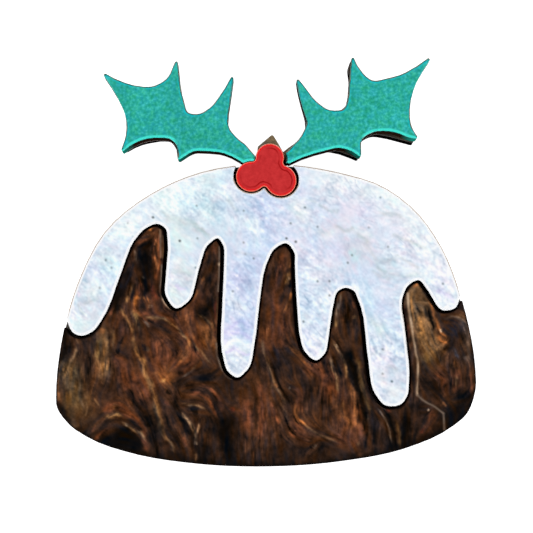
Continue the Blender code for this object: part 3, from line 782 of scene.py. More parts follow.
    ("rust", 0.42, 0.6, ((-7.9, -14.8), (-6.9, -15), (-6, -15.9), (-5.3, -17.2))),
    ("dark", 0.31, 0.7, ((-7.4, -15.3), (-6.4, -16), (-5.8, -17.2))),
    ("tan", 0.31, 0.59, ((-10, -17), (-8.9, -17), (-8, -17.2), (-7.1, -17.7))),
    ("grey", 0.24, 0.59, ((-9.3, -17.1), (-8.7, -17.2))),
    ("black", 1.07, 0.7, ((-9, -17.8), (-7.9, -17.8))),
    ("black", 0.59, 0.85, ((-10.9, -16.3), (-10.5, -17.9), (-9.7, -19.3), (-8.9, -20.8))),
    ("tan", 0.36, 0.81, ((-10.1, -18), (-9.4, -18.8), (-8.9, -19.5), (-8.6, -20.3), (-8.4, -21),
     (-8.3, -21.8))),
    ("pale", 0.31, 0.77, ((-8.3, -21.4), (-8.3, -21.8))),
    ("tan", 0.26, 0.59, ((-7.9, -19.3), (-8.2, -20.1), (-8.4, -20.6))),
    ("rust", 0.54, 0.55, ((-10, -20.8), (-9.4, -22.1))),
    ("tan", 0.36, 0.42, ((-8.3, -22.6), (-8.4, -23.8))),
    ("black", 0.48, 0.6, ((-9, -19.8), (-8.8, -21), (-8.6, -22.4))),
    ("rust", 0.54, 0.6, ((-12.1, -16.7), (-11.5, -17.1))),
    ("black", 0.95, 0.85, ((-5.1, -18.6), (-5, -21), (-4.7, -23.8))),
    ("redbrown", 0.48, 0.9, ((-4.3, -17.6), (-3.6, -17.8))),
    ("rust", 0.54, 0.7, ((-2.2, -16.5), (-2.2, -17.9), (-2.4, -20.1))),
    ("dark", 0.59, 0.8, ((-1.8, -13.7), (-1.3, -16.3), (-1.3, -20.3))),
    ("rust", 0.59, 0.6, ((-1, -14.6), (-0.5, -16.5), (-0.5, -18.6), (-0.9, -21.2))),
    ("rust", 0.59, 0.6, ((0.6, -16.7), (1, -18.2), (1.4, -19.6))),
    ("tan", 0.36, 0.5, ((-0.5, -9.4), (-0.3, -10.7), (0.2, -12), (0.6, -13.3), (1.1, -14.8),
     (1.9, -16.2), (2.3, -17))),
    ("orange", 0.36, 0.5, ((1, -14.5), (1.3, -15.1))),
    ("inky", 1.07, 0.75, ((0.7, -10.1), (1.1, -11.5), (1.6, -12.7))),
    ("black", 0.36, 0.8, ((0.7, -12.2), (1.4, -14.4), (2.2, -15.9), (2.6, -16.7))),
    ("olive", 0.31, 0.2, ((0.4, -15.3), (0.8, -14.7))),
    ("tan", 0.24, 0.2, ((1.6, -16.5), (2.4, -18.3), (3, -19.8))),
    ("orange", 0.48, 0.59, ((2.6, -10), (3.8, -11.1), (4.7, -12), (5.5, -12.7))),
    ("grey", 0.26, 0.77, ((2.7, -15), (2.9, -15.1))),
    ("orange", 0.48, 0.64, ((3.6, -17), (3.6, -18.2), (4.1, -19.1), (4.6, -19.5))),
    ("tan", 0.26, 0.4, ((4.3, -19.3), (5.5, -20.2), (6.7, -20.8), (8.4, -21.5))),
    ("black", 0.59, 0.5, ((3.5, -20.8), (4.7, -21.2))),
    ("rust", 0.36, 0.5, ((2.8, -20.3), (3.6, -21))),
    ("grey", 0.29, 0.42, ((5.5, -22.2), (5.9, -21.8))),
    ("tan", 0.33, 0.72, ((7.6, -11.4), (7.9, -12.7), (8.4, -14), (8.4, -15.6))),
    ("tan", 0.36, 0.72, ((7.9, -9.5), (8.5, -10.5), (9.1, -11.5), (9.5, -13), (9.4, -13.9))),
    ("pale", 0.24, 0.51, ((8.2, -9.9), (8.5, -10.3))),
    ("black", 0.54, 0.9, ((7.9, -11.1), (8.5, -12.7), (9, -13.8))),
    ("black", 0.77, 0.97, ((9.6, -10.6), (10.2, -12.5), (10.8, -14.4), (11.2, -16.3), (11.6, -17.9),
     (11.9, -20.5))),
    ("orange", 0.6, 0.6, ((10, -14.6), (10.4, -16.3), (10.6, -18.2), (10.9, -19.8))),
    ("orange", 0.59, 0.55, ((8.8, -17.7), (9.4, -18.4), (10.1, -19.3), (9.8, -20.2))),
    ("gold", 0.31, 0.42, ((9.2, -16.7), (8.8, -17.9))),
    ("tan", 0.48, 0.47, ((10.7, -21.4), (11, -21.9))),
    ("olive", 0.48, 0.55, ((10.8, -11.5), (11.2, -13.9), (11.8, -16.5), (12.3, -17.9))),
    ("black", 0.36, 0.8, ((11.7, -12.2), (12.4, -15.6), (13.4, -17))),
    ("grey", 0.24, 0.47, ((13.2, -17.5), (14.2, -19), (14.6, -20.5), (14.8, -21.5))),
    ("black", 0.36, 0.85, ((13.8, -17.2), (14.8, -19.1), (15.2, -20.8), (15.4, -22.4))),
    ("black", 0.48, 0.7, ((12.8, -19.8), (12.9, -21.9))),
    ("redbrown", 0.42, 0.8, ((14.2, -17.6), (14.7, -17.9))),
    ("olive", 0.42, 0.35, ((15.4, -18.9), (15.8, -20.6), (15.9, -22.1))),
    ("black", 0.54, 0.7, ((16.6, -18.4), (16.5, -21))),
    ("grey", 0.21, 0.34, ((12, -18.2), (12.2, -20.1), (11.8, -21.2))),
)

# Fine pale lines that lie over the pattern: a hairline scratch, and the glint of the polished rim.
GLINTS = (
    ("pale", 0.36, 0.85, ((16.85, -3.9), (16.9, -5.2), (17.05, -6.4), (17.3, -7.8))),
    ("pale", 0.28, 0.75, ((17.3, -7.8), (17.45, -9), (17.65, -10.2), (17.75, -11), (17.95, -11.7),
     (18, -12.6),
     (17.95, -14), (17.87, -15.2), (17.9, -15.9))),
    ("grey", 0.26, 0.8, ((17.9, -15.9), (18.3, -16.3), (19, -16.8), (19.8, -17.2), (20.5, -17.7),
     (21, -18.1))),
    ("grey", 0.26, 0.85, ((21, -18.1), (21.05, -19), (21.1, -20))),
    ("tan", 0.22, 0.6, ((17.6, -4.9), (18.4, -4.9), (19.3, -5))),
    ("pale", 0.22, 0.45, ((-12.65, 3.7), (-12.6, 2), (-12.56, 0.4))),
    ("olive", 0.2, 0.6, ((-12.27, 3), (-12.22, 1.5), (-12.32, 0.4))),
    ("grey", 0.22, 0.85, ((-12.46, -0.5), (-12.5, -2.4), (-12.6, -3), (-12.56, -3.9), (-12.3, -4.6))),
    ("pale", 0.24, 0.8, ((-12.3, -4.6), (-12.1, -5), (-11.85, -5.3), (-11.5, -5.6), (-11.15, -5.75))),
    ("grey", 0.22, 0.95, ((-5.6, 1.7), (-5.58, 0), (-5.63, -2), (-5.73, -3.6))),
    ("pale", 0.3, 0.95, ((-5.6, -0.35), (-5.6, -0.45))),
    ("olive", 0.2, 0.5, ((-5.76, -4.3), (-5.83, -6), (-5.92, -8), (-5.9, -9.6))),
    ("grey", 0.22, 0.85, ((-5.9, -9.8), (-5.87, -11.1), (-5.65, -11.8), (-5.45, -12.4), (-5.2, -13))),
    ("grey", 0.2, 0.7, ((-5.2, -13), (-4.9, -13.5), (-4.45, -13.9), (-4, -14.05))),
    ("grey", 0.2, 0.5, ((3.9, -10.4), (4.4, -11))),
    ("grey", 0.2, 0.5, ((13.2, -16.9), (14.1, -17.6))),
)

SHEET_BROWN = (62.0, 40.0, 28.0)
EDGE_DARK = (10.0, 7.0, 6.0)

body = copied(["pudding_body"], "body")
outline = top_outline(body)
canvas = Canvas(outline, seed=3)
stir = np.column_stack([
    0.10 * canvas.cloud(0.3).ravel() + 0.04 * canvas.cloud(0.1).ravel() for _ in range(2)
])
spots = canvas.spots + stir
image = np.tile(np.array(SHEET_BROWN), (len(canvas.spots), 1))
for pigment, width, strength, course in CLOUDS:
    line = smooth_line(course)
    cells = canvas.close_to(line, 1.2 * width)
    distance = nearest(spots[cells], line)[0]
    share = strength * np.exp(-((2 * distance / width) ** 2))
    image[cells] += (np.array(PIGMENTS[pigment]) - image[cells]) * share[:, None]

# The pigment flows along the streaks. Each streak gives the cells near it its own slope, doubled, so that
# both ways along it count the same; elsewhere the flow runs down the sheet.
flow = np.tile(np.array([-0.06, 0.0]), (len(canvas.spots), 1))
for pigment, width, strength, course in STREAKS:
    line = smooth_line(course)
    cells = canvas.close_to(line, 1.6)
    distance, _, slope = nearest(canvas.spots[cells], line)
    share = np.exp(-((distance / 0.6) ** 2))
    flow[cells] += share[:, None] * np.column_stack([np.cos(2 * slope), np.sin(2 * slope)])
flow = [canvas.blurred(flow[:, i].reshape(canvas.shape), 0.36) for i in (0, 1)]
slope = 0.5 * np.arctan2(flow[1], flow[0])

# The streaks are laid over the clouds, broken up by the grain that follows the flow.
fine = canvas.grain(slope, 0.07, 0.5)
broad = canvas.grain(slope, 0.17, 1.3)
threads = canvas.grain(slope, 0.06, 0.9)
tint = canvas.grain(slope, 0.155, 1.0)
for pigment, width, strength, course in STREAKS:
    line = smooth_line(course)
    cells = canvas.close_to(line, width + 0.4)
    distance, along, _ = nearest(canvas.spots[cells] + stir[cells] * min(1, 1.2 * width), line)
    length = np.hypot(*np.diff(line, axis=0).T).sum()
    ends = np.clip(np.minimum(along, 1 - along) * length / min(0.3 * length, 0.6) + 0.25, 0, 1)
    share = 0.85 * strength * ends * np.exp(-((distance / (0.55 * width * (0.5 + 0.5 * ends))) ** 2))
    share = share * np.clip(1 + 0.25 * fine.ravel()[cells] + 0.25 * broad.ravel()[cells], 0.1, 1.3)
    image[cells] += (np.array(PIGMENTS[pigment]) - image[cells]) * np.clip(share, 0, 1)[:, None]

# Last come the finest threads, stronger in some patches than in others.
image = image.reshape(*canvas.shape, 3)
patchy = np.clip(1 + 0.5 * canvas.cloud(1.0), 0.3, 1.9)
mottle = 0.04 * canvas.cloud(0.1) + 0.08 * canvas.cloud(0.2) + 0.08 * canvas.cloud(0.5)
strength = 1 + patchy * (0.06 * fine + 0.09 * broad - 0.12 * np.clip(threads - 1, 0, 1.5)) + mottle
strength = strength + 0.15 * patchy * np.clip(-threads - 1.3, 0, 1.5)
image = image * np.clip(strength, 0.25, 2.2)[..., None] + tint[..., None] * np.array([4.0, 0.5, -3.0])
image = canvas.crisper(image)

# A thin dark line is painted round the face, darkest at the very edge. The scratch and the glints lie over
# it.
inside = edge_near(canvas.spots, outline)[0].reshape(canvas.shape)
edge_dark = np.clip((0.17 + 0.05 * canvas.cloud(0.3) - inside) / 0.16, 0, 0.85)
image = image * (1 - edge_dark[..., None]) + np.array(EDGE_DARK) * edge_dark[..., None]
for pigment, width, strength, course in GLINTS:
    line = smooth_line(course)
    distance = nearest(canvas.spots, line)[0].reshape(canvas.shape)
    share = strength * np.exp(-((2 * distance / width) ** 2))
    share = share * np.clip(1 + 0.2 * canvas.cloud(0.3), 0.4, 1.3)
    image = image + (np.array(PIGMENTS[pigment]) - image) * np.clip(share, 0, 1)[..., None]

soften_rim(body, BODY_RIM, looks_up)
slice_top(body, CELL)
canvas.lay_on(body, image)

# Cast gloss: the polished face of a cast sheet, with a slight orange peel and finger-dulled patches.
cast_gloss, start, end = new_effect(
    "cast_gloss",
    [("Smoothest", "NodeSocketFloat", 0.1), ("Dullest", "NodeSocketFloat", 0.25)],
    [("Roughness", "NodeSocketFloat"), ("Height", "NodeSocketFloat")],
)
place = add(cast_gloss, "ShaderNodeTexCoord", (-900, -200))
patches = add(
    cast_gloss, "ShaderNodeTexNoise", (-600, 0), Vector=(place, "Object"), Scale=260.0, Detail=4.0,
    Roughness=0.6,
)
peel = add(
    cast_gloss, "ShaderNodeTexNoise", (-600, -300), Vector=(place, "Object"), Scale=1500.0, Detail=2.0,
)
sheen = add(
    cast_gloss, "ShaderNodeMapRange", (-200, 0), Value=(patches, "Fac"), To_Min=(start, "Smoothest"),
    To_Max=(start, "Dullest"), From_Min=0.3, From_Max=0.7,
)
feed(cast_gloss, end, Roughness=(sheen, "Result"), Height=(peel, "Fac"))


def sheet_gloss(tree, shader, smoothest, dullest):
    """Gives a finish the polish of a cast sheet."""
    polish = effect(tree, cast_gloss, (-500, -300), Smoothest=smoothest, Dullest=dullest)
    bump = add(
        tree, "ShaderNodeBump", (-250, -400), Height=(polish, "Height"), Strength=0.06, Distance=0.00002
    )
    feed(tree, shader, Roughness=(polish, "Roughness"), Normal=(bump, "Normal"))


body_top, tree, shader = new_finish("body_top")
pattern = add(tree, "ShaderNodeAttribute", (-900, 300), {"attribute_name": "pattern"})
place = add(tree, "ShaderNodeTexCoord", (-1300, 0))
speckle = add(
    tree, "ShaderNodeTexNoise", (-1100, 0), Vector=(place, "Object"), Scale=5200.0, Detail=2.0,
)
lightness = add(tree, "ShaderNodeMapRange", (-900, 0), Value=(speckle, "Fac"), To_Min=0.72, To_Max=1.28)
speckled = add(
    tree, "ShaderNodeVectorMath", (-650, 200), {"operation": "SCALE"}, (pattern, "Color"),
    Scale=(lightness, "Result"),
)
feed(tree, shader, Base_Color=(speckled, "Vector"))
sheet_gloss(tree, shader, smoothest=0.06, dullest=0.14)

body_wall = wall_finish("body_wall", colour(40, 14, 11), colour(15, 7, 6), burn=0.3, smoke_line=0.0055)
two_finishes(body, body_top, body_wall, level=0.97)
smooth_walls(body)
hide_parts("pudding_body")
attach(body, "root")


# ---- Icing ----
# The icing that drips over the pudding: pearl white acrylic, cast with mica that drifts in slanting wisps of
# lavender, blue and mint, with a few dark specks of dust caught in it. It is cut from its own sheet and laid
# beside the body with a fine gap between them. A whiter rim along its edge is a painted highlight, and a thin
# tan line on the edges that face away from the foot is painted shade.

# How far the top edge is eased, in metres.
FACE_RIM = 0.00009

PEARL = {
    "snow": (13, 11, 5), "sky": (-18, -14, -2), "mint": (-6, 5, 2), "rose": (4, -6, -3),
    "smoke": (-9, -7, -11), "cyan": (-12, -2, 1), "lilac": (-6, -14, -2), "ash": (-24, -22, -30),
    "milk": (20, 17, 10), "blush": (8, 0, 1), "sea": (-8, 0, 0), "cream": (10, 11, 1),
    "shade": (-9, -9, -8),
}

# Each drift of mica: its tint, its width in millimetres, its strength and its course.
DRIFTS = (
    ("snow", 4.0, 1.0, ((-18.5, 3.5), (-15, 5.4), (-11.5, 8), (-6, 10.4))),
    ("snow", 4.0, 1.1, ((6, 10.4), (10, 9.6), (15, 7.2), (18.5, 3.8), (21.5, -1), (22, -5))),
    ("sky", 6.5, 1.0, ((1.5, 8.5), (0, 4.5), (-0.5, 1), (-3, -2.5), (-3, -7))),
    ("mint", 4.5, 0.9, ((-8.5, 7.2), (-5, 6.2))),
    ("smoke", 3.2, 0.7, ((-10, 4.4), (-7.5, 2.8))),
    ("smoke", 2.2, 1.0, ((-9.8, -1.6), (-8.8, -2.2))),
    ("rose", 7.0, 1.0, ((5.5, 3.5), (10, 4.8), (9, 0.5))),
    ("smoke", 3.0, 0.6, ((11, 1.5), (14, 0))),
    ("cyan", 4.5, 1.0, ((12.5, -1.5), (12.3, -5.5))),
    ("cyan", 3.0, 0.5, ((14.6, -8), (15, -12))),
    ("smoke", 3.0, 0.8, ((-21.8, -5), (-20.8, -6.4))),
    ("lilac", 2.4, 0.5, ((-19.6, 1), (-21.2, -2))),
    ("cyan", 1.8, 0.6, ((-22.6, -1), (-23.2, -4))),
    ("lilac", 2.6, 0.4, ((4.6, -7), (5.4, -11.5))),
    ("cyan", 2.4, 0.5, ((3.8, -3), (3.6, -6))),
    ("ash", 0.51, 0.58, ((6.3, 6.8), (7.4, 6.2), (8.4, 6))),
    ("ash", 0.59, 0.65, ((8.4, 3.9), (9.4, 3.5), (10.2, 3.7))),
    ("ash", 0.51, 0.5, ((11.1, 3), (12, 2.1))),
    ("ash", 0.59, 0.5, ((14.1, 5.7), (15.9, 5.3))),
    ("ash", 0.85, 0.36, ((11.7, 1.8), (13.5, 0), (15.6, 0.2))),
    ("ash", 0.44, 0.58, ((15.3, 3.2), (17.1, 2.4), (18.9, 1.5))),
    ("ash", 0.41, 0.5, ((15.8, 0.7), (18.2, -0.7))),
    ("ash", 0.51, 0.58, ((13.3, -0.7), (14, -1.3))),
    ("ash", 0.59, 0.43, ((12.6, -1.2), (14.4, -2.1))),
    ("ash", 0.68, 0.36, ((14.7, -1.6), (17.7, -1.8))),
    ("ash", 0.68, 0.43, ((-12.3, 5.6), (-10.2, 4.5), (-7.5, 3.3))),
    ("ash", 0.59, 0.5, ((-9.3, 4.7), (-6.9, 3))),
    ("ash", 0.68, 0.36, ((-11.1, -1.2), (-8.7, -1.3))),
    ("ash", 0.51, 0.43, ((-3.3, 0.9), (-2, 0.8), (-0.6, 0.5))),
    ("ash", 0.51, 0.43, ((-4.8, 7.2), (-3.3, 6))),
    ("ash", 0.44, 0.43, ((4.5, 7.5), (5.7, 7.2))),
    ("ash", 0.51, 0.43, ((12.6, -11.1), (14.4, -10.5))),
    ("ash", 0.51, 0.43, ((14.4, -12.6), (15.5, -12.9))),
    ("lilac", 0.5, 1.0, ((20.7, -3.6), (22.4, -4.8))),
    ("ash", 0.68, 0.36, ((-21.3, -4.8), (-19.8, -4.2))),
    ("ash", 0.59, 0.36, ((-22.4, -5), (-21.8, -6.4))),
    ("milk", 0.3, 0.9, ((-23.2, -5.4), (-22.4, -6.6))),
    ("milk", 0.24, 0.8, ((-22.2, -5.6), (-21.4, -6.6))),
    ("lilac", 0.6, 0.7, ((-4.9, -8.8), (-4.1, -7.6), (-3, -7.2), (-1.9, -8))),
    ("lilac", 0.7, 0.7, ((-4.8, -9.6), (-3.8, -8.6), (-2.4, -8.8), (-1.8, -9.4))),
    ("milk", 0.5, 1.0, ((-4.8, -10.2), (-3.8, -9.6), (-2.4, -9.9))),
    ("lilac", 0.5, 1.2, ((-4.6, -10.8), (-3.6, -10.4), (-2.7, -11), (-2.2, -11.1))),
    ("milk", 0.4, 0.8, ((-3.4, -11.2), (-2.6, -11.8))),
    ("lilac", 0.6, 1.3, ((-10.6, -3.1), (-10, -3.4))),
    ("rose", 0.5, 1.6, ((-22.5, -3.6), (-22.2, -3.9))),
    ("milk", 0.3, 0.9, ((-0.3, 2.6), (0.1, 2.5))),
    ("milk", 0.24, 1.0, ((-3.6, -1.8), (-3.4, -1.8))),
    ("mint", 0.6, 1.5, ((10.1, 0.8), (10.5, 0.5))),
    ("cream", 2.6, 0.8, ((-12.4, 8.4), (-11.2, 6.4))),
    ("cream", 2.4, 1.1, ((-17.2, 3.6), (-15.8, 4.4))),
    ("cream", 2.2, 1.1, ((-18.9, 0), (-18.2, -0.6))),
    ("cream", 1.8, 0.9, ((-21.2, -2), (-20.2, -3))),
    ("cream", 2.0, 1.2, ((-10.6, 3), (-9.6, 2))),
    ("cream", 1.4, 0.9, ((-10.6, -0.4), (-9.2, -0.8))),
    ("cream", 1.6, 1.2, ((-11, -4), (-10.2, -4.6))),
    ("cream", 1.4, 1.0, ((-22.8, -7.6), (-21.6, -8.2))),
    ("cream", 1.8, 1.3, ((-1.6, 4.4), (-0.8, 2))),
    ("cream", 1.8, 1.3, ((-4.2, -4.4), (-3.4, -5.2))),
    ("cream", 2.0, 1.4, ((3, 7.2), (4, 5.6))),
    ("cream", 1.4, 0.8, ((6.2, 3.6), (7.4, 3.2))),
    ("cream", 1.4, 0.8, ((10.8, 3.4), (12, 3.2))),
    ("cream", 1.8, 0.9, ((13.4, 8.4), (15.4, 7.4))),
    ("cream", 1.6, 1.1, ((17.4, -1.4), (18.6, -1.8))),
    ("cream", 1.2, 1.1, ((4.3, -6.6), (4.8, -7.4))),
    ("cream", 1.6, 1.2, ((12.6, -7.4), (13.6, -8))),
    ("cream", 1.6, 0.7, ((14.2, -14), (14.8, -15))),
    ("cream", 1.4, 0.7, ((-4.2, -9.8), (-2.8, -10.2))),
    ("shade", 1.8, 1.0, ((14, 6), (16, 5.2))),
    ("shade", 1.6, 0.7, ((11.6, 7.2), (13, 6.4))),
    ("shade", 1.6, 1.0, ((-5.2, 4.4), (-4.4, 3.4))),
    ("shade", 1.6, 0.9, ((-4.2, 0.8), (-3.6, -0.4))),
    ("shade", 1.6, 0.6, ((-7.8, 9), (-7.2, 8))),
    ("shade", 1.4, 1.0, ((9.6, 1.2), (10.4, 0.4))),
    ("shade", 1.4, 0.7, ((4.8, 0.6), (5.8, -0.4))),
    ("shade", 1.4, 1.1, ((6.8, -7.8), (6.8, -9.2))),
    ("shade", 1.4, 0.7, ((14.2, -5.8), (16, -6.2))),
    ("shade", 1.2, 0.8, ((16.2, -12.8), (16.4, -14))),
    ("shade", 1.4, 0.6, ((14.8, -2), (16.2, -2.2))),
    ("shade", 1.6, 0.6, ((16.2, 4.8), (18, 3.8))),
    ("blush", 2.4, 1.0, ((13, 1.6), (12.8, -0.6), (14, -3), (13.6, -6))),
    ("blush", 2.4, 1.3, ((14, -10.6), (14.4, -14.2))),
    ("blush", 2.6, 1.2, ((20.2, -0.2), (21.4, -2.2))),
    ("blush", 2.2, 0.9, ((-3.9, -0.6), (-3.2, -5))),
    ("blush", 2.0, 1.3, ((-4.4, -7.6), (-4.2, -9.4))),
    ("blush", 2.0, 1.1, ((-10.4, -1.6), (-9.2, -2))),
    ("blush", 2.0, 0.9, ((-21.8, -5.2), (-21, -6))),
    ("blush", 2.2, 0.9, ((-4.8, 7.2), (-3.8, 6.4))),
    ("blush", 2.4, 0.6, ((16, 4), (17.6, 0))),
    ("sea", 2.6, 1.3, ((-11.6, 3), (-11, 1.4))),
    ("sea", 2.2, 1.2, ((-6.4, 10.4), (-4.8, 10.2))),
    ("sea", 2.4, 1.2, ((-19.4, 0), (-18, -0.8))),
    ("sea", 2.6, 1.2, ((4.8, 3.8), (6, 3))),
    ("sea", 2.4, 1.0, ((6.4, 6.2), (8, 6.4))),
    ("sea", 2.6, 0.9, ((9.4, 3), (11, 3.4))),
    ("sea", 2.0, 0.7, ((9.4, 0.4), (8.8, -2.6))),
    ("sea", 1.8, 0.6, ((5, -5.4), (6, -6.6))),
    ("sea", 2.2, 0.6, ((-12.6, 7.4), (-11.6, 6.8))),
    ("sky", 2.4, 0.35, ((6.2, 2.4), (8.2, 1.2))),
)

# Specks of dust: where each lies and how dark it is.
DUST = (
    (-16.5, 4.5, 0.5), (-18.8, 3.0, 0.35), (-19.1, 0.1, 0.6), (-18.4, -0.8, 0.55), (-19.8, -3.2, 0.6),
    (-15.9, 2.9, 0.4), (-10.3, 2.4, 1), (-8.2, 2.7, 0.6), (-8.4, -0.8, 0.6), (-2.7, 2.2, 0.6),
    (-1.5, 0.3, 0.7), (-2.5, 0.8, 0.4), (-4.0, -3.6, 0.6), (-13.5, 5.2, 0.95), (2.9, 4.5, 0.7),
    (2.4, 2.7, 0.9), (3.5, 2.3, 0.95), (6.1, 4.1, 0.6), (6.1, -2.4, 0.7), (7.5, -2.4, 0.7),
    (7.5, -4.1, 0.75), (4.4, -7.2, 0.7), (10.2, 0.7, 0.7), (9.7, -0.2, 0.7), (12.2, 4.0, 0.5),
    (14.5, 1.7, 0.6), (21.0, -2.7, 0.7), (13.8, -10.5, 0.6), (13.8, -13.4, 0.6), (14.9, -14.3, 0.85),
    (4.6, 6.4, 0.7), (-2.7, 6.0, 0.6), (-8.3, 6.6, 0.6), (13.6, 7.6, 0.6),
)

SHEET_WHITE = (223.5, 234.0, 248.0)
DUST_GREY = (62, 72, 76)
WISP_SLANT = -36

icing = copied(["icing"], "icing_sheet")
outline = top_outline(icing)
canvas = Canvas(outline, seed=11)
slope = math.radians(WISP_SLANT) + 0.22 * canvas.cloud(1.8)
image = np.tile(np.array(SHEET_WHITE), (len(canvas.spots), 1))
stir = np.column_stack([
    0.22 * canvas.cloud(0.5).ravel() + 0.05 * canvas.cloud(0.12).ravel() for _ in range(2)
])
for tint, width, strength, course in DRIFTS:
    line = smooth_line(course)
    cells = canvas.close_to(line, 1.3 * width)
    distance = nearest(canvas.spots[cells] + stir[cells] * min(1, 1.2 * width), line)[0]
    share = strength * np.exp(-((2 * distance / width) ** 2))
    image[cells] += np.array(PEARL[tint]) * share[:, None]
for x, y, strength in DUST:
    share = 0.8 * strength**1.6 * np.exp(-(np.hypot(*(canvas.spots - (x, y)).T) / 0.14) ** 2)
    image += (np.array(DUST_GREY) - image) * share[:, None]

# The mica lies in fine wisps and folds that slant across the sheet, with a few darker creases.
image = image.reshape(*canvas.shape, 3)
wisps = canvas.grain(slope, 0.1, 0.4)
folds = canvas.grain(slope, 0.22, 0.7)
creases = np.exp(-((canvas.grain(slope, 0.3, 0.7) / 0.3) ** 2))
warmth = canvas.grain(slope, 0.16, 0.3)
violet = canvas.cloud(0.7)
light = 2.8 * canvas.cloud(0.08) + 3.4 * canvas.cloud(0.14) + 4.0 * wisps + 4.8 * folds
light = light + 3.6 * canvas.cloud(0.45)
light = light - 6.5 * np.clip(canvas.cloud(1.2) + 0.5, 0, 2) * (creases - creases.mean())
light = light * np.clip(0.95 + 0.28 * canvas.cloud(1.5), 0.4, 1.6)
image = image + light[..., None] * np.array([1.15, 1.0, 0.8])
image = image + warmth[..., None] * np.array([2.4, -0.6, -0.8])
image = image + violet[..., None] * np.array([-1.6, -1.2, 0.6])
image = canvas.crisper(image)

soften_rim(icing, FACE_RIM, looks_up)
slice_top(icing, CELL)
mark_edge(icing, outline)
canvas.lay_on(icing, image)

# An edge band: how much of the highlight and shade painted along a finish's edge shows, from how far inside
# the edge the point lies.
edge_band, start, end = new_effect(
    "edge_band",
    [
        ("Width", "NodeSocketFloat", 0.3),
        ("Fade", "NodeSocketFloat", 0.15),
        ("Wander", "NodeSocketFloat", 0.1),
    ],
    [("Mask", "NodeSocketFloat")],
)
inside = add(edge_band, "ShaderNodeAttribute", (-900, 200), {"attribute_name": "inside_edge"})
place = add(edge_band, "ShaderNodeTexCoord", (-900, -300))
uneven = add(
    edge_band, "ShaderNodeTexNoise", (-700, -300), Vector=(place, "Object"), Scale=1400.0, Detail=2.0,
)
centred = reckon(edge_band, "SUBTRACT", (-500, -300), (uneven, "Fac"), 0.5)
wander = reckon(edge_band, "MULTIPLY", (-350, -250), (centred, "Value"), (start, "Wander"))
moved = reckon(edge_band, "ADD", (-200, 100), (inside, "Fac"), (wander, "Value"))
outer = reckon(edge_band, "ADD", (-200, -100), (start, "Width"), (start, "Fade"))
band = add(
    edge_band, "ShaderNodeMapRange", (100, 0), {"interpolation_type": "SMOOTHSTEP"},
    Value=(moved, "Value"), From_Min=(start, "Width"), From_Max=(outer, "Value"), To_Min=1.0,
    To_Max=0.0,
)
feed(edge_band, end, Mask=(band, "Result"))

# The middle of the berries, round which the icing's painted highlight along the rim is weaker.
BERRIES_MIDDLE = (-0.0001, 0.0102, 0.0061)

icing_top, tree, shader = new_finish("icing_top")
pattern = add(tree, "ShaderNodeAttribute", (-900, 300), {"attribute_name": "pattern"})
# The whiter rim along the edge is a painted highlight, weaker round the berries.
rim_highlight = effect(tree, edge_band, (-650, -50), Width=0.24, Fade=0.18, Wander=0.1)
place = add(tree, "ShaderNodeTexCoord", (-1300, 0))
to_berries = add(
    tree, "ShaderNodeVectorMath", (-1100, 0), {"operation": "DISTANCE"}, (place, "Object"),
    BERRIES_MIDDLE,
)
weaker = add(
    tree, "ShaderNodeMapRange", (-900, 0), Value=(to_berries, "Value"), From_Min=0.0045,
    From_Max=0.0062, To_Min=0.3,
)
rim_highlight_share = reckon(tree, "MULTIPLY", (-500, 50), (rim_highlight, "Mask"), (weaker, "Result"))
rim_lit = mixer(tree, (-350, 150), (rim_highlight_share, "Value"), (pattern, "Color"), colour(252, 253, 255))
# The thin tan line on the edges that face away from the foot is painted shade.
edge_shade = effect(tree, edge_band, (-650, -300), Width=0.07, Fade=0.09, Wander=0.08)
facing = add(tree, "ShaderNodeAttribute", (-900, -500), {"attribute_name": "faces_foot"})
outward = add(
    tree, "ShaderNodeMapRange", (-650, -500), Value=(facing, "Fac"), From_Min=-0.05, From_Max=-0.25,
)
outer_edge_shade = reckon(tree, "MULTIPLY", (-350, -300), (edge_shade, "Mask"), (outward, "Result"))
edge_shaded = mixer(tree, (-150, 100), (outer_edge_shade, "Value"), (rim_lit, MIXED), colour(176, 156, 136))
feed(tree, shader, Base_Color=(edge_shaded, MIXED))
sheet_gloss(tree, shader, smoothest=0.08, dullest=0.18)

# The walls are given a dark grey rather than the sheet's pearl white: painted shade, so that the fine gaps
# beside the body read black.
icing_wall = wall_finish("icing_wall", colour(74, 66, 62), colour(16, 13, 12), burn=0.35, smoke_line=0.0058)
two_finishes(icing, icing_top, icing_wall)
smooth_walls(icing)
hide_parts("icing")
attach(icing, "root")


# ---- Holly leaves ----
# Two holly leaves of teal acrylic with a fine pearl grain in it. Each is cut to a stem and five or six
# spikes and glued over its own lobe of the base plate; its walls are smoked nearly black. A bright line
# round the face where it faces the foot is a painted highlight, and a bluer band with a thin brownish line
# on the other edges is painted shade.

# A sheet with no laid pattern is sliced into wider cells, in millimetres.
PLAIN_CELL = 0.15

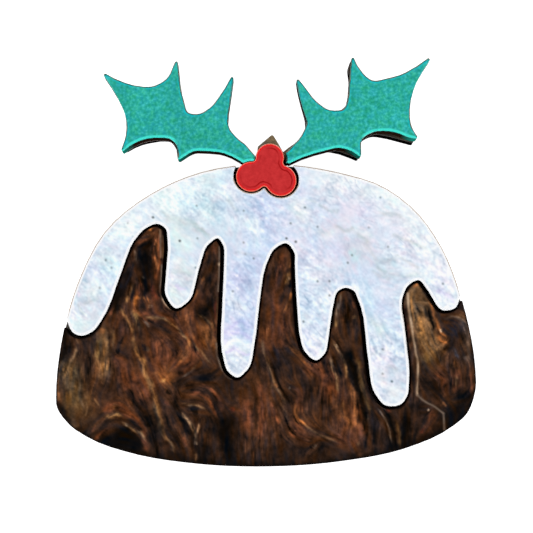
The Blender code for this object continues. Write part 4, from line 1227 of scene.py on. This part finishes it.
leaf_top, tree, shader = new_finish("leaf_top")
place = add(tree, "ShaderNodeTexCoord", (-1900, 0))
grain = add(
    tree, "ShaderNodeTexNoise", (-1650, 200), Vector=(place, "Object"), Scale=2900.0, Detail=2.0,
    Roughness=0.5,
)
shades = ramp(
    tree, (-1450, 200), (grain, "Fac"), (0.15, colour(17, 139, 126)), (0.5, colour(45, 172, 160)),
    (0.85, colour(78, 210, 198)),
)
tones = add(
    tree, "ShaderNodeTexNoise", (-1650, -100), Vector=(place, "Object"), Scale=1700.0, Detail=2.0,
)
hue = add(
    tree, "ShaderNodeMapRange", (-1450, -50), Value=(tones, "Fac"), From_Min=0.3, From_Max=0.7,
    To_Min=0.46, To_Max=0.535,
)
drift = add(
    tree, "ShaderNodeTexNoise", (-1650, -350), Vector=(place, "Object"), Scale=220.0, Detail=3.0,
)
depth = add(
    tree, "ShaderNodeMapRange", (-1450, -300), Value=(drift, "Fac"), From_Min=0.3, From_Max=0.7,
    To_Min=0.93, To_Max=1.08,
)
tinted = add(
    tree, "ShaderNodeHueSaturation", (-1200, 150), Hue=(hue, "Result"), Value=(depth, "Result"),
    Color=(shades, "Color"),
)
facing = add(tree, "ShaderNodeAttribute", (-1450, -550), {"attribute_name": "faces_foot"})
low_side = add(
    tree, "ShaderNodeMapRange", (-1250, -500), Value=(facing, "Fac"), From_Min=0.5, From_Max=0.8,
)
high_side = add(
    tree, "ShaderNodeMapRange", (-1250, -750), Value=(facing, "Fac"), From_Min=0.35, From_Max=0.05,
)

# Towards the foot the rim is a bright painted highlight; elsewhere a bluer, broken band and a thin
# brownish line are painted shade.
bright = effect(tree, edge_band, (-1000, -100), Width=0.2, Fade=0.2, Wander=0.12)
bright_low = reckon(tree, "MULTIPLY", (-800, -100), (bright, "Mask"), (low_side, "Result"))
lit = mixer(tree, (-800, 150), (bright_low, "Value"), (tinted, "Color"), colour(68, 230, 214))
blue_shade = effect(tree, edge_band, (-1000, -350), Width=0.02, Fade=0.4, Wander=0.9)
blue_shade_high = reckon(tree, "MULTIPLY", (-800, -350), (blue_shade, "Mask"), (high_side, "Result"))
blue_shaded = mixer(tree, (-600, 150), (blue_shade_high, "Value"), (lit, MIXED), colour(22, 192, 200))
edge_shade = effect(tree, edge_band, (-1000, -600), Width=0.1, Fade=0.09, Wander=0.16)
edge_shade_high = reckon(tree, "MULTIPLY", (-800, -600), (edge_shade, "Mask"), (high_side, "Result"))
shade_noise = add(
    tree, "ShaderNodeTexNoise", (-1000, -900), Vector=(place, "Object"), Scale=1300.0, Detail=1.0,
)
shade_tones = ramp(
    tree, (-800, -900), (shade_noise, "Fac"), (0.45, colour(18, 96, 86)), (0.6, colour(96, 92, 66)),
)
edge_shaded = mixer(tree, (-400, 150), (edge_shade_high, "Value"), (blue_shaded, MIXED), (shade_tones, "Color"))
feed(tree, shader, Base_Color=(edge_shaded, MIXED))
sheet_gloss(tree, shader, smoothest=0.08, dullest=0.2)

# The walls are burnt brown, but stay teal at these four ends of spikes, given in millimetres.
TEAL_TIPS = ((-17.56, 12.71), (-10.61, 11.96), (11.34, 12.36), (18.29, 14.60))

leaf_wall = wall_finish("leaf_wall", colour(16, 44, 36), colour(38, 22, 14), burn=0.2, smoke_line=0.0048)
tree = leaf_wall.node_tree
shader = next(node for node in tree.nodes if node.type == "BSDF_PRINCIPLED")
marks = next(node for node in tree.nodes if node.type == "GROUP")
place = add(tree, "ShaderNodeTexCoord", (-1700, 300))
flat = add(
    tree, "ShaderNodeVectorMath", (-1500, 300), {"operation": "MULTIPLY"},
    (place, "Object"), (1.0, 1.0, 0.0),
)
nearest_tip = None
for i, (x, y) in enumerate(TEAL_TIPS):
    to_tip = add(
        tree, "ShaderNodeVectorMath", (-1300, 300 - 200 * i), {"operation": "DISTANCE"},
        (flat, "Vector"), (x / MM_IN_METRE, y / MM_IN_METRE, 0.0),
    )
    if nearest_tip is None:
        nearest_tip = to_tip
    else:
        nearest_tip = reckon(
            tree, "MINIMUM", (-1100, 300 - 200 * i), (nearest_tip, "Value"), (to_tip, "Value")
        )
at_tip = add(
    tree, "ShaderNodeMapRange", (-850, 300), Value=(nearest_tip, "Value"), From_Min=0.0022, From_Max=0.0008
)
tipped = mixer(tree, (-300, 200), (at_tip, "Result"), (marks, "Color"), colour(26, 136, 120))
feed(tree, shader, Base_Color=(tipped, MIXED))

for side in ("left", "right"):
    leaf = copied([f"leaf_{side}"], f"holly_{side}")
    outline = top_outline(leaf)
    soften_rim(leaf, FACE_RIM, looks_up)
    slice_top(leaf, PLAIN_CELL)
    mark_edge(leaf, outline)
    two_finishes(leaf, leaf_top, leaf_wall)
    smooth_walls(leaf)
    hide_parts(f"leaf_{side}")
    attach(leaf, "root")


# ---- Berries ----
# Three berries cut as one piece from clear red acrylic over the dark plate. The face is a deep crimson. A
# scarlet rim with a thin pink-orange line at its very edge is a painted highlight, and a broken darker ring
# just inside it is painted shade.

berries_top, tree, shader = new_finish("berries_top")
place = add(tree, "ShaderNodeTexCoord", (-1300, 0))
cloud = add(
    tree, "ShaderNodeTexNoise", (-1100, 100), Vector=(place, "Object"), Scale=1500.0, Detail=5.0,
    Roughness=0.7,
)
shades = ramp(
    tree, (-850, 100), (cloud, "Fac"), (0.3, colour(186, 42, 44)), (0.5, colour(200, 49, 51)),
    (0.7, colour(214, 57, 58)),
)
# The broken dark ring just inside the rim is painted shade.
outer_line = effect(tree, edge_band, (-850, -100), Width=0.56, Fade=0.12, Wander=0.3)
inner_line = effect(tree, edge_band, (-850, -300), Width=0.4, Fade=0.14, Wander=0.3)
beyond = reckon(tree, "SUBTRACT", (-650, -300), 1.0, (inner_line, "Mask"))
shadow = reckon(tree, "MULTIPLY", (-500, -200), (outer_line, "Mask"), (beyond, "Value"))
patchy = add(
    tree, "ShaderNodeTexNoise", (-850, -550), Vector=(place, "Object"), Scale=420.0, Detail=1.0,
)
broken = add(
    tree, "ShaderNodeMapRange", (-650, -550), Value=(patchy, "Fac"), From_Min=0.4, From_Max=0.56,
)
ring = reckon(tree, "MULTIPLY", (-350, -300), (shadow, "Value"), (broken, "Result"))
shadowed = mixer(tree, (-350, 150), (ring, "Value"), (shades, "Color"), colour(160, 10, 13))
# The scarlet rim and the pink-orange line at the very edge are painted highlights.
rim_highlight = effect(tree, edge_band, (-350, -50), Width=0.15, Fade=0.22, Wander=0.2)
rim_lit = mixer(tree, (-150, 150), (rim_highlight, "Mask"), (shadowed, MIXED), colour(234, 30, 35))
blush = effect(tree, edge_band, (-150, -150), Width=0.07, Fade=0.07, Wander=0.05)
rim_line_lit = mixer(tree, (50, 150), (blush, "Mask"), (rim_lit, MIXED), colour(240, 116, 92))
feed(tree, shader, Base_Color=(rim_line_lit, MIXED))
sheet_gloss(tree, shader, smoothest=0.06, dullest=0.14)

berries_wall = wall_finish(
    "berries_wall", colour(84, 10, 12), colour(18, 4, 4), burn=0.2, smoke_line=0.0052
)
berries = copied(["berries"], "berry_cluster")
outline = top_outline(berries)
soften_rim(berries, FACE_RIM, looks_up)
slice_top(berries, PLAIN_CELL)
mark_edge(berries, outline)
two_finishes(berries, berries_top, berries_wall)
smooth_walls(berries)
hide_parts("berries")
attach(berries, "root")


# ---- Studio ----
# The ornament lies on its back on a plain white table, under four large soft lights set round it, and the
# camera looks straight down on it from a little in front.

bpy.ops.object.select_all(action="DESELECT")
bpy.ops.mesh.primitive_plane_add(size=3.0, location=(0, 0, whole_low.z - 0.00002))
table = bpy.context.active_object
table.name = "table"
white, tree, shader = new_finish("table_white")
shader.inputs["Base Color"].default_value = (0.8, 0.8, 0.8, 1)
shader.inputs["Roughness"].default_value = 0.9
shader.inputs["Specular IOR Level"].default_value = 0.0
shader.inputs["Emission Color"].default_value = (1, 1, 1, 1)
shader.inputs["Emission Strength"].default_value = 1.0
table.data.materials.append(white)

SOFTBOX_SIZE = 0.55
SOFTBOX_AWAY = 0.55
SOFTBOX_POWER = 2.35
for turn in (45, 135, 225, 315):
    light = bpy.data.lights.new(f"softbox_{turn}", "AREA")
    light.shape = "SQUARE"
    light.size = SOFTBOX_SIZE
    light.energy = SOFTBOX_POWER
    holder = bpy.data.objects.new(f"softbox_{turn}", light)
    away = Vector((math.cos(math.radians(turn)), math.sin(math.radians(turn)), 0.9)) * SOFTBOX_AWAY
    holder.location = away
    holder.rotation_euler = away.to_track_quat("Z", "Y").to_euler()
    bpy.context.scene.collection.objects.link(holder)

world = bpy.data.worlds.new("studio")
world.use_nodes = True
tree = world.node_tree
room = tree.nodes["Background"]
backdrop = add(tree, "ShaderNodeBackground", (0, -200), Color=(1, 1, 1, 1))
seen = add(tree, "ShaderNodeLightPath", (-200, 300))
which = add(
    tree, "ShaderNodeMixShader", (200, 0), {}, (seen, "Is Camera Ray"), (room, "Background"),
    (backdrop, "Background"),
)
room.inputs["Color"].default_value = (0.02, 0.02, 0.02, 1)
tree.links.new(which.outputs["Shader"], tree.nodes["World Output"].inputs["Surface"])
bpy.context.scene.world = world

eye = Vector((-0.001961, -0.016544, 0.2631))
aim = Vector((0.000019, -0.000654, 0.0061))
camera = bpy.data.objects.new("camera", bpy.data.cameras.new("camera"))
bpy.context.scene.collection.objects.link(camera)
back = (eye - aim).normalized()
right = Vector((0, 1, 0)).cross(back).normalized()
turned = Matrix((right, back.cross(right), back)).transposed()
camera.matrix_world = Matrix.Translation(eye) @ turned.to_4x4()
camera.data.sensor_width = 36
camera.data.lens = 146.197
camera.data.clip_start = 0.01
bpy.context.scene.camera = camera

view = bpy.context.scene.view_settings
view.view_transform = "Standard"
view.look = "None"
view.exposure = 0.0
view.gamma = 1.0
